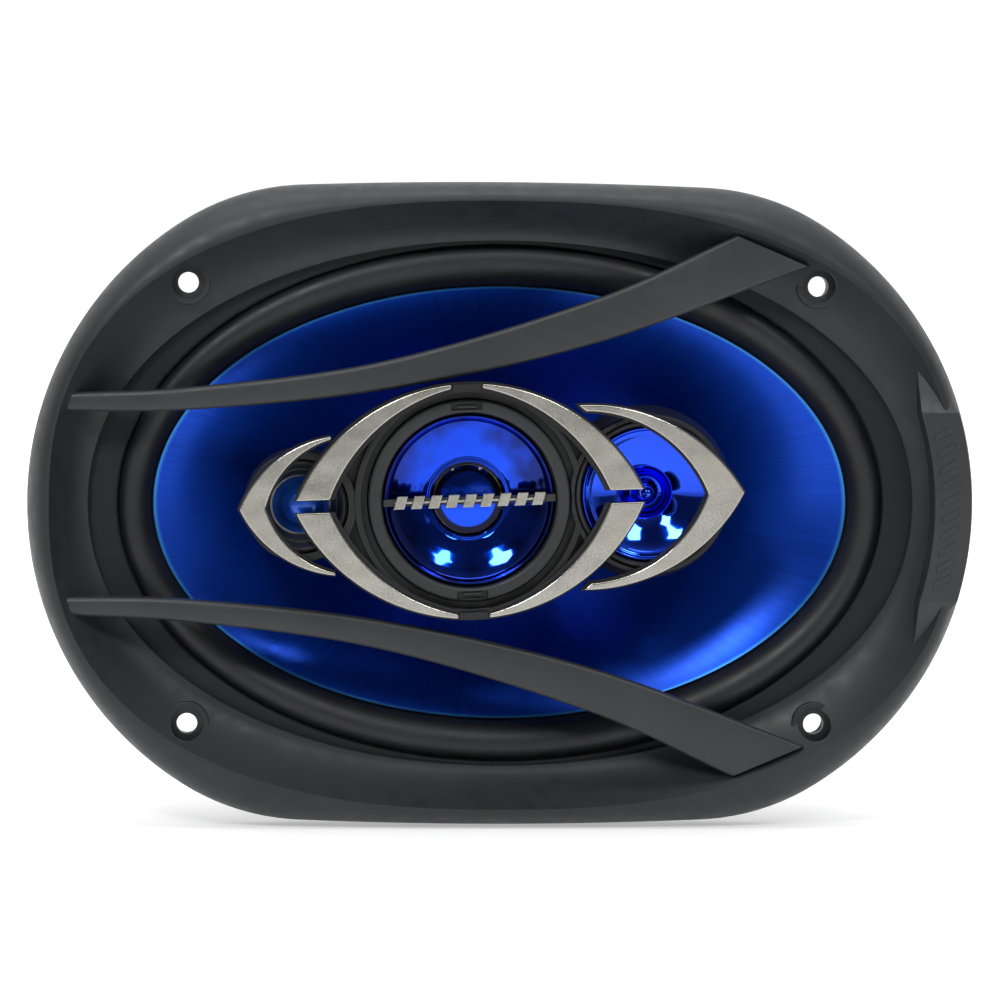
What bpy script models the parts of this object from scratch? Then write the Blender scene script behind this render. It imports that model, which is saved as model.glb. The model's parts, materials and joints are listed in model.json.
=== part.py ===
"""A 6x9 inch four-way coaxial car speaker with its grille, built as the pieces it comes apart into.

Sizes are in millimetres and the meshes are in metres. +X is to the right seen from the front, +Z is up, and
the front faces -Y. The origin is on the woofer's axis, in the plane of the basket flange's rear face, which
is the face that meets the car's panel.
"""

import math

import bmesh
import bpy
from mathutils import Vector

UNIT = 0.001

# Grille rim: a three-arc oval outside, a crest, and an opening round the woofer
RIM_HALF_WIDTH = 124.5
RIM_HALF_HEIGHT = 84.5
RIM_FLANK_RADIUS = 1360.0
RIM_CORNER_RADIUS = 61.5
RIM_END_RADIUS = 87.5
RIM_WALL = 2.4
CREST_HALF_WIDTH = 118.4
CREST_HALF_HEIGHT = 79.5
CREST_POWER = 2.44
CREST_Y = -18.5
SHOULDER_DROP = 12.0
OPENING_HALF_WIDTH = 108.7
OPENING_HALF_HEIGHT = 69.2
OPENING_POWER = 2.1
LIP_Y = -7.6
LIP_REAR_Y = -5.6
INNER_WALL_POWER = 1.6
RIM_COLUMNS = 60

# Screws: four holes on the usual 6x9 rectangle
SCREW_X = 82.55
SCREW_Z = 57.7
SCREW_HOLE_RADIUS = 2.7
SCREW_SEAT_RADIUS = 4.2
SCREW_SEAT_Y = -10.5
SCREW_BOSS_RADIUS = 5.8
SCREW_BOSS_Y = (-11.0, -1.5)
SCREW_RELIEF_Y = -6.5

# Grille bars: points on the upper bar's two edges, mirrored for the lower bar
BAR_INNER_EDGE = ((-115.6, 24.2), (-82, 24.7), (-32, 30.0), (23.5, 42.5), (79.2, 62.9))
BAR_OUTER_EDGE = ((-115.1, 29.0), (-82, 30.6), (-32, 37.6), (23, 54.0), (60.2, 70.9))
BAR_LEFT_Y = -16.2
BAR_RIGHT_Y = -17.7
BAR_BOW = 2.0
BAR_DEPTH = 5.0
BAR_CHAMFER = 0.9
BAR_STATIONS = 13

# Raised pad on the right end of the rim
PAD_FLAT_HALF_LENGTH = 24.8
PAD_HALF_LENGTH = 36.0
PAD_INNER_X = 112.9
PAD_INNER_SAG = 3.9
PAD_INNER_Y = -19.4
PAD_OUTER_Y = -18.4
PAD_REAR_Y = -9.0
PAD_OUTER_INSET = 1.7
PAD_OUTER_EDGE = 4.0
PAD_TIP_WIDTH = 1.4
PAD_TIP_Y = -15.5

# Basket
FLANGE_INSET = 6.7
FLANGE_THICKNESS = 1.2
BASKET_COLUMNS = 48
BASKET_LEG_PITCH = 6
BASKET_HOLE_RADIUS = 21.6
BASKET_HOLE_CLEARANCE = 3.3

# Woofer
CONE_HALF_WIDTH = 91.8
CONE_HALF_HEIGHT = 57.2
CONE_EDGE_Y = -1.2
CONE_NECK_RADIUS = 19.5
CONE_DEPTH = 36.2
CONE_CURVE = 1.25
CONE_THICKNESS = 0.8
GASKET_INNER = (101.2, 68.5)
GASKET_OUTER = (111.6, 73.6)
SURROUND_HEIGHT = 5.0
SURROUND_THICKNESS = 0.6
SURROUND_LAP = 1.5
COIL_FORMER_RADII = (18.6, 19.2)
COIL_FORMER_Y = (33.5, 58.3)
COIL_RADII = (19.5, 20.3)
COIL_Y = (48.3, 58.3)
SPIDER_RADII = (19.5, 49.3)
SPIDER_LANDING_RADIUS = 43.2
SPIDER_Y = 42.0
SPIDER_CORRUGATIONS = 2

# Motor
TOP_PLATE_Y = (50.3, 56.3)
MAGNET_Y = (56.6, 72.6)
BACK_PLATE_Y = (72.9, 78.9)
PLATE_RADIUS = 44.0
MAGNET_RADIUS = 46.0
POLE_RADIUS = 17.8
POLE_BORE_RADIUS = 6.4
TOP_PLATE_BORE_RADIUS = 21.0
MAGNET_BORE_RADIUS = 25.0
STEM_RADII = (4.0, 6.1)
STEM_Y = (6.4, 83.4)
NUT_RADII = (7.5, 10.4)
NUT_Y = (79.2, 82.4)

# Terminals, on the sloping wall of the basket, and leads
BOARD_PLACE = (0.0, 21.0, 63.4)
WALL_SLOPE = (12.4, 29.5)
BOARD_HALF_WIDTH = 15.0
BOARD_HALF_DEPTH = 9.0
BOARD_FACES = (0.5, 2.1)
TAB_FACES = (2.4, 3.2)
TAB_ENDS = (-3.0, 16.0)
TAB_OFFSET = 8.5
POSITIVE_TAB_HALF_WIDTH = 3.15
NEGATIVE_TAB_HALF_WIDTH = 2.4
TINSEL_DIAMETER = 1.4
POD_LEAD_DIAMETER = 2.6

# Crossover capacitors: the surface they are glued to, and their distance from the axis
CAPACITOR_SEAT_Y = 44.8
CAPACITOR_SEAT_RADIUS = 47.0

# Pod: midrange in the middle, a large tweeter on its right and a small one on its left
POD_CENTRE = (-9.2, 1.45)
POD_TURN_DEG = 2.2
RIGHT_U = 47.1
LEFT_U = -43.9
TRIM_FRONT_Y = -23.0
TRIM_BACK_Y = -21.2
CARRIER_Y = (-20.9, -18.5)
WALL_Y = (-18.9, -13.0)
PLATE_Y = (-15.5, -12.3)
HOUSING_Y = (-12.0, 0.0)
ARC_CENTRE_V = -19.4
ARC_OUTER_RADIUS = 50.0
ARC_INNER_RADIUS = 46.0
ARC_INNER_CENTRE = (6.2, -15.55)
ARC_END_U = 4.0
ARC_TIP_V = 1.6


# ---------------------------------------------------------------- scene and materials


def clear_scene():
    for old in list(bpy.data.objects):
        bpy.data.objects.remove(old, do_unlink=True)


def material(name, color, roughness, metallic=0.0):
    found = bpy.data.materials.get(name)
    if found:
        return found
    made = bpy.data.materials.new(name)
    made.use_nodes = True
    shader = made.node_tree.nodes["Principled BSDF"]
    shader.inputs["Base Color"].default_value = (*color, 1.0)
    shader.inputs["Roughness"].default_value = roughness
    shader.inputs["Metallic"].default_value = metallic
    made.diffuse_color = (*color, 1.0)
    return made


def grille_plastic():
    return material("grille_plastic", (0.035, 0.037, 0.04), 0.5)


def pod_plastic():
    return material("pod_plastic", (0.025, 0.026, 0.028), 0.42)


def black_rubber():
    return material("black_rubber", (0.02, 0.02, 0.022), 0.55)


def gasket_board():
    return material("gasket_board", (0.04, 0.042, 0.048), 0.8)


def blue_metallised():
    return material("blue_metallised", (0.01, 0.05, 0.55), 0.32, 0.9)


def blue_mirror():
    return material("blue_mirror", (0.01, 0.06, 0.8), 0.08, 1.0)


def polished_trim():
    return material("polished_trim", (0.72, 0.71, 0.68), 0.2, 1.0)


def black_steel():
    return material("black_steel", (0.03, 0.03, 0.032), 0.4, 0.3)


def zinc_steel():
    return material("zinc_steel", (0.62, 0.62, 0.6), 0.3, 1.0)


def ferrite():
    return material("ferrite", (0.05, 0.05, 0.053), 0.6)


def copper():
    return material("copper", (0.72, 0.3, 0.13), 0.35, 1.0)


def spider_cloth():
    return material("spider_cloth", (0.62, 0.48, 0.2), 0.9)


def coil_film():
    return material("coil_film", (0.55, 0.28, 0.06), 0.3)


def fibre_board():
    return material("fibre_board", (0.1, 0.06, 0.035), 0.7)


def tin_plate():
    return material("tin_plate", (0.7, 0.69, 0.66), 0.3, 1.0)


def capacitor_film():
    return material("capacitor_film", (0.5, 0.42, 0.12), 0.35)


def lead_braid():
    return material("lead_braid", (0.5, 0.3, 0.14), 0.5, 0.6)


def lead_sleeve():
    return material("lead_sleeve", (0.03, 0.03, 0.03), 0.5)


# ---------------------------------------------------------------- mesh helpers


def finish(name, mesh_data, surface, parent=None, sharp_deg=35):
    """Make the object of a bmesh whose points are in millimetres."""
    bmesh.ops.scale(mesh_data, vec=(UNIT, UNIT, UNIT), verts=mesh_data.verts)
    bmesh.ops.recalc_face_normals(mesh_data, faces=mesh_data.faces)
    mesh = bpy.data.meshes.new(name)
    mesh_data.to_mesh(mesh)
    mesh_data.free()
    mesh.materials.append(surface)
    mesh.shade_smooth()
    mesh.set_sharp_from_angle(angle=math.radians(sharp_deg))
    made = bpy.data.objects.new(name, mesh)
    bpy.context.scene.collection.objects.link(made)
    made.parent = parent
    return made


def turned(name, profile, surface, centre=(0.0, 0.0), parent=None, steps=32):
    """Spin a profile of (radius, y) points round the Y axis through centre. The profile closes on itself, or on
    the axis where its first and last radius are 0."""
    data = bmesh.new()
    points = [data.verts.new((radius, y, 0.0)) for radius, y in profile]
    edges = [data.edges.new(pair) for pair in zip(points, points[1:])]
    if profile[0][0] > 0:
        edges.append(data.edges.new((points[-1], points[0])))
    bmesh.ops.spin(data, geom=points + edges, cent=(0, 0, 0), axis=(0, 1, 0), angle=math.tau, steps=steps)
    bmesh.ops.remove_doubles(data, verts=data.verts, dist=1e-4)
    bmesh.ops.translate(data, vec=(centre[0], 0, centre[1]), verts=data.verts)
    return finish(name, data, surface, parent)


def ring_profile(radii, ys):
    """The rectangle that a plain ring turns: radii and ys are (low, high) pairs."""
    return [(radii[0], ys[0]), (radii[1], ys[0]), (radii[1], ys[1]), (radii[0], ys[1])]


def disc_profile(radius, ys):
    return [(0.0, ys[0]), (radius, ys[0]), (radius, ys[1]), (0.0, ys[1])]


def plate(name, outline, ys, surface, parent=None):
    """Extrude an outline of (x, z) points from ys[0] to ys[1] along Y."""
    data = bmesh.new()
    face = data.faces.new([data.verts.new((x, ys[0], z)) for x, z in outline])
    moved = bmesh.ops.extrude_face_region(data, geom=[face])["geom"]
    points = [item for item in moved if isinstance(item, bmesh.types.BMVert)]
    bmesh.ops.translate(data, vec=(0, ys[1] - ys[0], 0), verts=points)
    return finish(name, data, surface, parent)


def skin(data, first, second, closed=True):
    """Quads between two rows of vertices."""
    count = len(first)
    for here in range(count if closed else count - 1):
        after = (here + 1) % count
        data.faces.new((first[here], first[after], second[after], second[here]))


def closed_loft(name, rings, surface, parent=None):
    """A ring-shaped solid: rings of points follow each other round its section, and the last meets the first."""
    data = bmesh.new()
    rows = [[data.verts.new(point) for point in ring] for ring in rings]
    for row, following in zip(rows, rows[1:] + rows[:1]):
        skin(data, row, following)
    return finish(name, data, surface, parent)


def bar_loft(name, sections, surface, parent=None):
    """A solid from a row of closed sections, with both ends capped."""
    data = bmesh.new()
    rows = [[data.verts.new(point) for point in section] for section in sections]
    for row, following in zip(rows, rows[1:]):
        skin(data, row, following)
    data.faces.new(rows[0])
    data.faces.new(rows[-1])
    return finish(name, data, surface, parent)


def combine(target, helpers, operation):
    """Join or cut target with helper objects, which stay out of the model."""
    group = bpy.data.collections.new(f"{target.name}_{operation.lower()}")
    bpy.context.scene.collection.children.link(group)
    for helper in helpers:
        bpy.context.scene.collection.objects.unlink(helper)
        group.objects.link(helper)
        helper.hide_render = True
        helper.display_type = "WIRE"
    modifier = target.modifiers.new(operation.title(), "BOOLEAN")
    modifier.operation = operation
    modifier.operand_type = "COLLECTION"
    modifier.collection = group
    modifier.solver = "EXACT"


def wire(name, route, diameter, surface):
    """A round lead through route's points, read from a smooth curve."""
    points = smooth_through(route, 3 * (len(route) - 1) + 1)
    curve = bpy.data.curves.new(name, "CURVE")
    curve.dimensions = "3D"
    curve.bevel_depth = diameter / 2 * UNIT
    curve.bevel_resolution = 1
    curve.use_fill_caps = True
    spline = curve.splines.new("POLY")
    spline.points.add(len(points) - 1)
    for knot, point in zip(spline.points, points):
        knot.co = (*(Vector(point) * UNIT), 1.0)
    curve.materials.append(surface)
    made = bpy.data.objects.new(name, curve)
    bpy.context.scene.collection.objects.link(made)
    return made


# ---------------------------------------------------------------- plane curves


def superellipse(half_width, half_height, power=2.0):
    """Distance from the centre to the curve, for an angle from +X."""

    def radius(angle):
        across = abs(math.cos(angle) / half_width) ** power
        up = abs(math.sin(angle) / half_height) ** power
        return (across + up) ** (-1 / power)

    return radius


def three_arc_oval(half_width, half_height, flank_radius, corner_radius, end_radius):
    """Distance from the centre to an oval whose flanks, corners and ends are arcs that meet smoothly."""
    flank = Vector((0.0, half_height - flank_radius))
    end = Vector((half_width - end_radius, 0.0))
    line = end - flank
    to_flank = flank_radius - corner_radius
    to_end = end_radius - corner_radius
    along = (to_flank**2 - to_end**2 + line.length_squared) / (2 * line.length)
    direction = line.normalized()
    across = math.sqrt(to_flank**2 - along**2)
    corner = flank + direction * along + Vector((direction.y, -direction.x)) * across
    flank_meets = flank + (corner - flank).normalized() * flank_radius
    end_meets = end + (corner - end).normalized() * end_radius

    def radius(angle):
        ray = Vector((abs(math.cos(angle)), abs(math.sin(angle))))
        slope = math.atan2(ray.y, ray.x)
        if slope > math.atan2(flank_meets.y, flank_meets.x):
            centre, size = flank, flank_radius
        elif slope < math.atan2(end_meets.y, end_meets.x):
            centre, size = end, end_radius
        else:
            centre, size = corner, corner_radius
        reach = ray.dot(centre)
        return reach + math.sqrt(reach**2 - centre.length_squared + size**2)

    return radius


def mixed(first, second, share):
    """The curve that lies at share of the way from first to second."""
    return lambda angle: first(angle) + (second(angle) - first(angle)) * share


def column_angles(count, flatness=0.68):
    """Angles of the columns round an oval, evenly spread along it."""
    turns = [math.tau * step / count for step in range(count)]
    return [math.atan2(flatness * math.sin(turn), math.cos(turn)) for turn in turns]


def ring_points(radius, y, angles):
    return [(radius(angle) * math.cos(angle), y, radius(angle) * math.sin(angle)) for angle in angles]


def smooth_through(points, count):
    """count points on a Catmull-Rom curve through the given points."""
    knots = [Vector(point) for point in points]
    knots = [2 * knots[0] - knots[1], *knots, 2 * knots[-1] - knots[-2]]
    result = []
    for step in range(count):
        place = step / (count - 1) * (len(points) - 1)
        first = min(int(place), len(points) - 2)
        share = place - first
        before, here, after, beyond = knots[first : first + 4]
        result.append(
            0.5
            * (
                2 * here
                + (after - before) * share
                + (2 * before - 5 * here + 4 * after - beyond) * share**2
                + (3 * here - before - 3 * after + beyond) * share**3
            )
        )
    return result


def arc(start, end, radius, count):
    """Points on the arc from start to end whose centre is on the side of smaller z."""
    first, last = Vector(start), Vector(end)
    half = (last - first) / 2
    down = Vector((half.y, -half.x)).normalized()
    if down.y > 0:
        down = -down
    centre = first + half + down * math.sqrt(radius**2 - half.length_squared)
    begin = math.atan2(first.y - centre.y, first.x - centre.x)
    stop = math.atan2(last.y - centre.y, last.x - centre.x)
    angles = [begin + (stop - begin) * step / (count - 1) for step in range(count)]
    return [(centre.x + radius * math.cos(turn), centre.y + radius * math.sin(turn)) for turn in angles]


def mirrored(points, flip_x=1, flip_z=1):
    return [(x * flip_x, z * flip_z) for x, z in points]


def rectangle(middle, half_width, zs):
    return [
        (middle - half_width, zs[0]),
        (middle + half_width, zs[0]),
        (middle + half_width, zs[1]),
        (middle - half_width, zs[1]),
    ]


OUTSIDE = three_arc_oval(RIM_HALF_WIDTH, RIM_HALF_HEIGHT, RIM_FLANK_RADIUS, RIM_CORNER_RADIUS, RIM_END_RADIUS)
CREST = superellipse(CREST_HALF_WIDTH, CREST_HALF_HEIGHT, CREST_POWER)
OPENING = superellipse(OPENING_HALF_WIDTH, OPENING_HALF_HEIGHT, OPENING_POWER)
CONE_EDGE = superellipse(CONE_HALF_WIDTH, CONE_HALF_HEIGHT)


def inside_by(curve, inset):
    return lambda angle: curve(angle) - inset


# ---------------------------------------------------------------- grille


def inner_wall_y(share):
    """Height of the concave wall between the crest (0) and the opening's lip (1)."""
    return LIP_Y + (CREST_Y - LIP_Y) * (1 - share) ** INNER_WALL_POWER


def rim_rings(angles):
    """The rim's section: outer wall, shoulder, crest and inner wall, then back underneath them."""
    stations = [(OUTSIDE, 0.0)]
    for degrees in (90, 55, 25, 0):
        turn = math.radians(degrees)
        y = CREST_Y + SHOULDER_DROP * (1 - math.cos(turn))
        stations.append((mixed(CREST, OUTSIDE, math.sin(turn)), y))
    for share in (0.2, 0.52, 1.0):
        stations.append((mixed(CREST, OPENING, share), inner_wall_y(share)))
    stations.append((OPENING, LIP_REAR_Y))
    for share in (0.5, 0.15):
        stations.append((mixed(CREST, OPENING, share), inner_wall_y(share) + RIM_WALL))
    inner_skirt = inside_by(OUTSIDE, RIM_WALL)
    for degrees in (30, 90):
        turn = math.radians(degrees)
        y = CREST_Y + RIM_WALL + (SHOULDER_DROP - RIM_WALL) * (1 - math.cos(turn))
        stations.append((mixed(CREST, inner_skirt, math.sin(turn)), y))
    stations.append((inner_skirt, 0.0))
    return [ring_points(curve, y, angles) for curve, y in stations]


def bar_sections(flip):
    """Sections of the upper bar, or of the lower one with flip -1."""
    inner = smooth_through(BAR_INNER_EDGE, BAR_STATIONS)
    outer = smooth_through(BAR_OUTER_EDGE, BAR_STATIONS)
    sections = []
    for step, (low, high) in enumerate(zip(inner, outer)):
        along = step / (BAR_STATIONS - 1)
        front = BAR_LEFT_Y + (BAR_RIGHT_Y - BAR_LEFT_Y) * along - BAR_BOW * 4 * along * (1 - along)
        rear = front + BAR_DEPTH
        inward = (low - high).normalized() * BAR_CHAMFER
        corners = [
            (low, rear),
            (low, front + BAR_CHAMFER),
            (low - inward, front),
            (high + inward, front),
            (high, front + BAR_CHAMFER),
            (high, rear),
        ]
        sections.append([(place.x, y, place.y * flip) for place, y in corners])
    return sections


def pad_sections():
    """The pad on the rim's right end: a flat raised face that slopes down to a point at both ends."""
    inner_tip_x = PAD_INNER_X - PAD_INNER_SAG * 1.2
    outer_tip_x = inner_tip_x + PAD_TIP_WIDTH
    sections = []
    for share in (-1.0, -0.5, 0.0, 0.5, 1.0):
        z = share * PAD_FLAT_HALF_LENGTH
        inner_x = PAD_INNER_X - PAD_INNER_SAG * share**2
        outer_x = OUTSIDE(math.atan2(z, RIM_HALF_WIDTH)) - PAD_OUTER_INSET
        outer_x = math.sqrt(outer_x**2 - z**2)
        sections.append(
            [
                (inner_x, PAD_REAR_Y, z),
                (inner_x, PAD_INNER_Y, z),
                (outer_x, PAD_OUTER_Y, z),
                (outer_x, PAD_OUTER_Y + PAD_OUTER_EDGE, z),
                (outer_x - 4.0, PAD_REAR_Y + 1.0, z),
            ]
        )
    tips = []
    for z in (-PAD_HALF_LENGTH, PAD_HALF_LENGTH):
        tips.append(
            [
                (inner_tip_x, PAD_REAR_Y, z),
                (inner_tip_x, PAD_TIP_Y, z),
                (outer_tip_x, PAD_TIP_Y, z),
                (outer_tip_x, PAD_TIP_Y + PAD_OUTER_EDGE, z),
                (outer_tip_x, PAD_REAR_Y, z),
            ]
        )
    return [tips[0], *sections, tips[1]]


def screw_places():
    return [(x, z) for x in (-SCREW_X, SCREW_X) for z in (-SCREW_Z, SCREW_Z)]


def grille_frame():
    surface = grille_plastic()
    rim = closed_loft("grille_frame", rim_rings(column_angles(RIM_COLUMNS)), surface)
    joined = [
        bar_loft("upper_bar", bar_sections(1), surface),
        bar_loft("lower_bar", bar_sections(-1), surface),
        bar_loft("rim_pad", pad_sections(), surface),
    ]
    cuts = []
    for number, place in enumerate(screw_places()):
        boss = disc_profile(SCREW_BOSS_RADIUS, SCREW_BOSS_Y)
        joined.append(turned(f"screw_boss_{number}", boss, surface, place, steps=12))
        bore = [
            (0.0, 2.0),
            (SCREW_SEAT_RADIUS, 2.0),
            (SCREW_SEAT_RADIUS, SCREW_RELIEF_Y),
            (SCREW_HOLE_RADIUS, SCREW_RELIEF_Y),
            (SCREW_HOLE_RADIUS, SCREW_SEAT_Y),
            (SCREW_SEAT_RADIUS, SCREW_SEAT_Y),
            (SCREW_SEAT_RADIUS, -30.0),
            (0.0, -30.0),
        ]
        cuts.append(turned(f"screw_bore_{number}", bore, surface, place, steps=12))
    combine(rim, joined, "UNION")
    combine(rim, cuts, "DIFFERENCE")


# ---------------------------------------------------------------- basket


def basket_stations():
    """(curve, front y, rear y, rear curve) rows from the flange's edge in to the hole for the motor."""
    edge = inside_by(OUTSIDE, FLANGE_INSET)
    wall = FLANGE_THICKNESS
    return [
        (edge, -wall, edge, 0.0),
        (superellipse(100.6, 68.6), -wall, superellipse(102.2, 70.2), 0.0),
        (superellipse(99.2, 67.2), 6.0, superellipse(100.6, 68.6), 6.5),
        (superellipse(62.0, 55.0), 35.0, superellipse(63.2, 56.2), 36.0),
        (superellipse(50.0, 50.0), 43.0, superellipse(51.2, 51.2), 44.4),
        (superellipse(42.5, 42.5), 43.0, superellipse(43.7, 43.7), 44.4),
        (superellipse(40.5, 40.5), 48.6, superellipse(41.8, 41.8), 50.0),
        (superellipse(BASKET_HOLE_RADIUS, BASKET_HOLE_RADIUS), 48.6, None, 50.0),
    ]


def basket():
    """Stamped steel chassis: flange, eight windows between its legs, spider landing and floor."""
    surface = black_steel()
    angles = column_angles(BASKET_COLUMNS)
    data = bmesh.new()
    fronts, rears = [], []
    for front_curve, front_y, rear_curve, rear_y in basket_stations():
        rear_curve = rear_curve or front_curve
        fronts.append([data.verts.new(point) for point in ring_points(front_curve, front_y, angles)])
        rears.append([data.verts.new(point) for point in ring_points(rear_curve, rear_y, angles)])
    window_columns = range(1, BASKET_LEG_PITCH - 1)
    windows = {column for column in range(BASKET_COLUMNS) if column % BASKET_LEG_PITCH in window_columns}
    wall_row = 2
    for row in range(len(fronts) - 1):
        for here in range(BASKET_COLUMNS):
            after = (here + 1) % BASKET_COLUMNS
            if row == wall_row and here in windows:
                for end in (row, row + 1):
                    data.faces.new((fronts[end][here], fronts[end][after], rears[end][after], rears[end][here]))
                for side, neighbour in ((here, here - 1), (after, here + 1)):
                    if neighbour not in windows:
                        data.faces.new(
                            (fronts[row][side], fronts[row + 1][side], rears[row + 1][side], rears[row][side])
                        )
                continue
            for rows in (fronts, rears):
                data.faces.new((rows[row][here], rows[row][after], rows[row + 1][after], rows[row + 1][here]))
    skin(data, fronts[0], rears[0])
    skin(data, fronts[-1], rears[-1])
    made = finish("basket", data, surface)
    holes = [
        turned(f"flange_hole_{number}", disc_profile(BASKET_HOLE_CLEARANCE, (-4.0, 3.0)), surface, place, steps=12)
        for number, place in enumerate(screw_places())
    ]
    combine(made, holes, "DIFFERENCE")


# ---------------------------------------------------------------- woofer


def surround_gasket():
    angles = column_angles(40)
    inner, outer = superellipse(*GASKET_INNER), superellipse(*GASKET_OUTER)
    stations = [(inner, -2.3), (outer, -2.3), (outer, -5.3), (inner, -5.3)]
    closed_loft("surround_gasket", [ring_points(*station, angles) for station in stations], gasket_board())


def surround():
    """Rubber half roll from behind the cone's edge to a flat flange under the gasket."""
    angles = column_angles(40)
    landing = inside_by(CONE_EDGE, SURROUND_LAP)
    inner = inside_by(CONE_EDGE, -0.5)
    outer = superellipse(GASKET_INNER[0] - 0.3, GASKET_INNER[1] - 0.3)
    flange = superellipse(GASKET_OUTER[0] - 1.0, GASKET_OUTER[1] - 1.0)
    front, rear = [(landing, 1.1)], [(landing, 1.1 + SURROUND_THICKNESS)]
    for degrees in (0, 60, 120, 180):
        turn = math.radians(degrees)
        share = (1 - math.cos(turn)) / 2
        curve = mixed(inner, outer, share)
        foot = -0.1 - 1.9 * share
        lift = SURROUND_HEIGHT * math.sin(turn)
        front.append((curve, foot - lift))
        rear.append((curve, foot + SURROUND_THICKNESS - 0.1 - lift * 0.9))
    front.append((flange, -2.0))
    rear.append((flange, -1.5))
    stations = front + rear[::-1]
    closed_loft("surround", [ring_points(*station, angles) for station in stations], black_rubber())


def cone_station(share, offset=0.0):
    """Curve and y at share of the way from the cone's edge (0) to its neck (1)."""
    neck = superellipse(CONE_NECK_RADIUS, CONE_NECK_RADIUS)
    return mixed(CONE_EDGE, neck, share), CONE_EDGE_Y + CONE_DEPTH * share**CONE_CURVE + offset


def woofer_cone():
    angles = column_angles(40)
    shares = (0.0, 0.3, 0.62, 1.0)
    stations = [cone_station(share) for share in shares]
    stations += [cone_station(share, CONE_THICKNESS) for share in reversed(shares)]
    closed_loft("woofer_cone", [ring_points(*station, angles) for station in stations], blue_metallised())


def spider():
    """Corrugated suspension between the former and the basket's landing."""
    inner, outer = SPIDER_RADII
    points = 2 * SPIDER_CORRUGATIONS
    front = []
    for step in range(points + 1):
        share = step / points
        radius = inner + (SPIDER_LANDING_RADIUS - inner) * share
        front.append((radius, SPIDER_Y - 0.3 - (1.1 if step % 2 else 0.0)))
    front.append((outer, SPIDER_Y + 0.2))
    rear = [(radius, y + 0.5) for radius, y in reversed(front)]
    turned("spider", front + rear, spider_cloth(), steps=28)


def woofer():
    surround_gasket()
    surround()
    woofer_cone()
    turned("voice_coil_former", ring_profile(COIL_FORMER_RADII, COIL_FORMER_Y), coil_film(), steps=24)
    turned("voice_coil", ring_profile(COIL_RADII, COIL_Y), copper(), steps=24)
    spider()


def motor():
    turned("top_plate", ring_profile((TOP_PLATE_BORE_RADIUS, PLATE_RADIUS), TOP_PLATE_Y), zinc_steel(), steps=28)
    turned("magnet", ring_profile((MAGNET_BORE_RADIUS, MAGNET_RADIUS), MAGNET_Y), ferrite(), steps=28)
    back_plate = [
        (POLE_BORE_RADIUS, TOP_PLATE_Y[0]),
        (POLE_RADIUS, TOP_PLATE_Y[0]),
        (POLE_RADIUS, BACK_PLATE_Y[0]),
        (PLATE_RADIUS, BACK_PLATE_Y[0]),
        (PLATE_RADIUS, BACK_PLATE_Y[1]),
        (POLE_BORE_RADIUS, BACK_PLATE_Y[1]),
    ]
    turned("back_plate", back_plate, zinc_steel(), steps=28)
    turned("pod_stem", ring_profile(STEM_RADII, STEM_Y), zinc_steel(), steps=16)
    turned("stem_nut", ring_profile(NUT_RADII, NUT_Y), zinc_steel(), steps=6)


def terminals():
    """Terminal board on the upper leg of the basket, with its two spade tabs and the leads that leave it."""
    mount = bpy.data.objects.new("terminal_axis", None)
    bpy.context.scene.collection.objects.link(mount)
    mount.location = Vector(BOARD_PLACE) * UNIT
    mount.rotation_euler = (-math.atan2(*WALL_SLOPE), 0.0, 0.0)
    board = rectangle(0.0, BOARD_HALF_WIDTH, BOARD_FACES)
    plate("terminal_board", board, (-BOARD_HALF_DEPTH, BOARD_HALF_DEPTH), fibre_board(), mount)
    for name, x, half_width in (
        ("terminal_positive", -TAB_OFFSET, POSITIVE_TAB_HALF_WIDTH),
        ("terminal_negative", TAB_OFFSET, NEGATIVE_TAB_HALF_WIDTH),
    ):
        plate(name, rectangle(x, half_width, TAB_FACES), TAB_ENDS, tin_plate(), mount)
    for name, side in (("tinsel_lead_positive", -1), ("tinsel_lead_negative", 1)):
        route = [(side * 15.6, 23.0, 64.6), (side * 18.6, 25.0, 61.5), (side * 18.5, 30.0, 52.0)]
        route += [(side * 14.5, 36.0, 42.0), (side * 9.0, 37.5, 34.0), (side * 7.0, 35.2, 28.6)]
        wire(name, route, TINSEL_DIAMETER, lead_braid())
    route = [(0.0, 33.4, 61.8), (0.0, 40.0, 60.0), (0.0, 48.0, 54.5), (0.0, 58.0, 50.5), (0.0, 72.0, 49.6)]
    route += [(0.0, 79.5, 46.5), (0.0, 81.4, 38.0), (0.0, 81.6, 24.0), (0.0, 83.0, 13.0), (0.0, 86.4, 5.6)]
    route += [(0.0, 84.4, 0.6), (0.0, 78.0, 0.0), (0.0, 60.0, 0.0)]
    wire("pod_lead", route, POD_LEAD_DIAMETER, lead_sleeve())


def capacitors():
    """Crossover capacitors glued behind the spider landing."""
    for name, degrees, half_length, radius in (
        ("crossover_capacitor_mid", 130, 11.0, 5.0),
        ("crossover_capacitor_tweeter", 50, 8.0, 4.2),
    ):
        turn = math.radians(degrees)
        mount = bpy.data.objects.new(f"{name}_axis", None)
        bpy.context.scene.collection.objects.link(mount)
        reach = CAPACITOR_SEAT_RADIUS + radius
        place = Vector((reach * math.cos(turn), CAPACITOR_SEAT_Y + radius, reach * math.sin(turn)))
        mount.location = place * UNIT
        mount.rotation_euler = (0.0, -turn, 0.0)
        body = [(0.0, -half_length), (radius - 0.8, -half_length), (radius, 0.8 - half_length)]
        body += [(radius, half_length - 0.8), (radius - 0.8, half_length), (0.0, half_length)]
        made = turned(name, body, capacitor_film(), parent=mount, steps=16)
        made.rotation_euler = (math.radians(90), 0.0, 0.0)


# ---------------------------------------------------------------- pod


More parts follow.
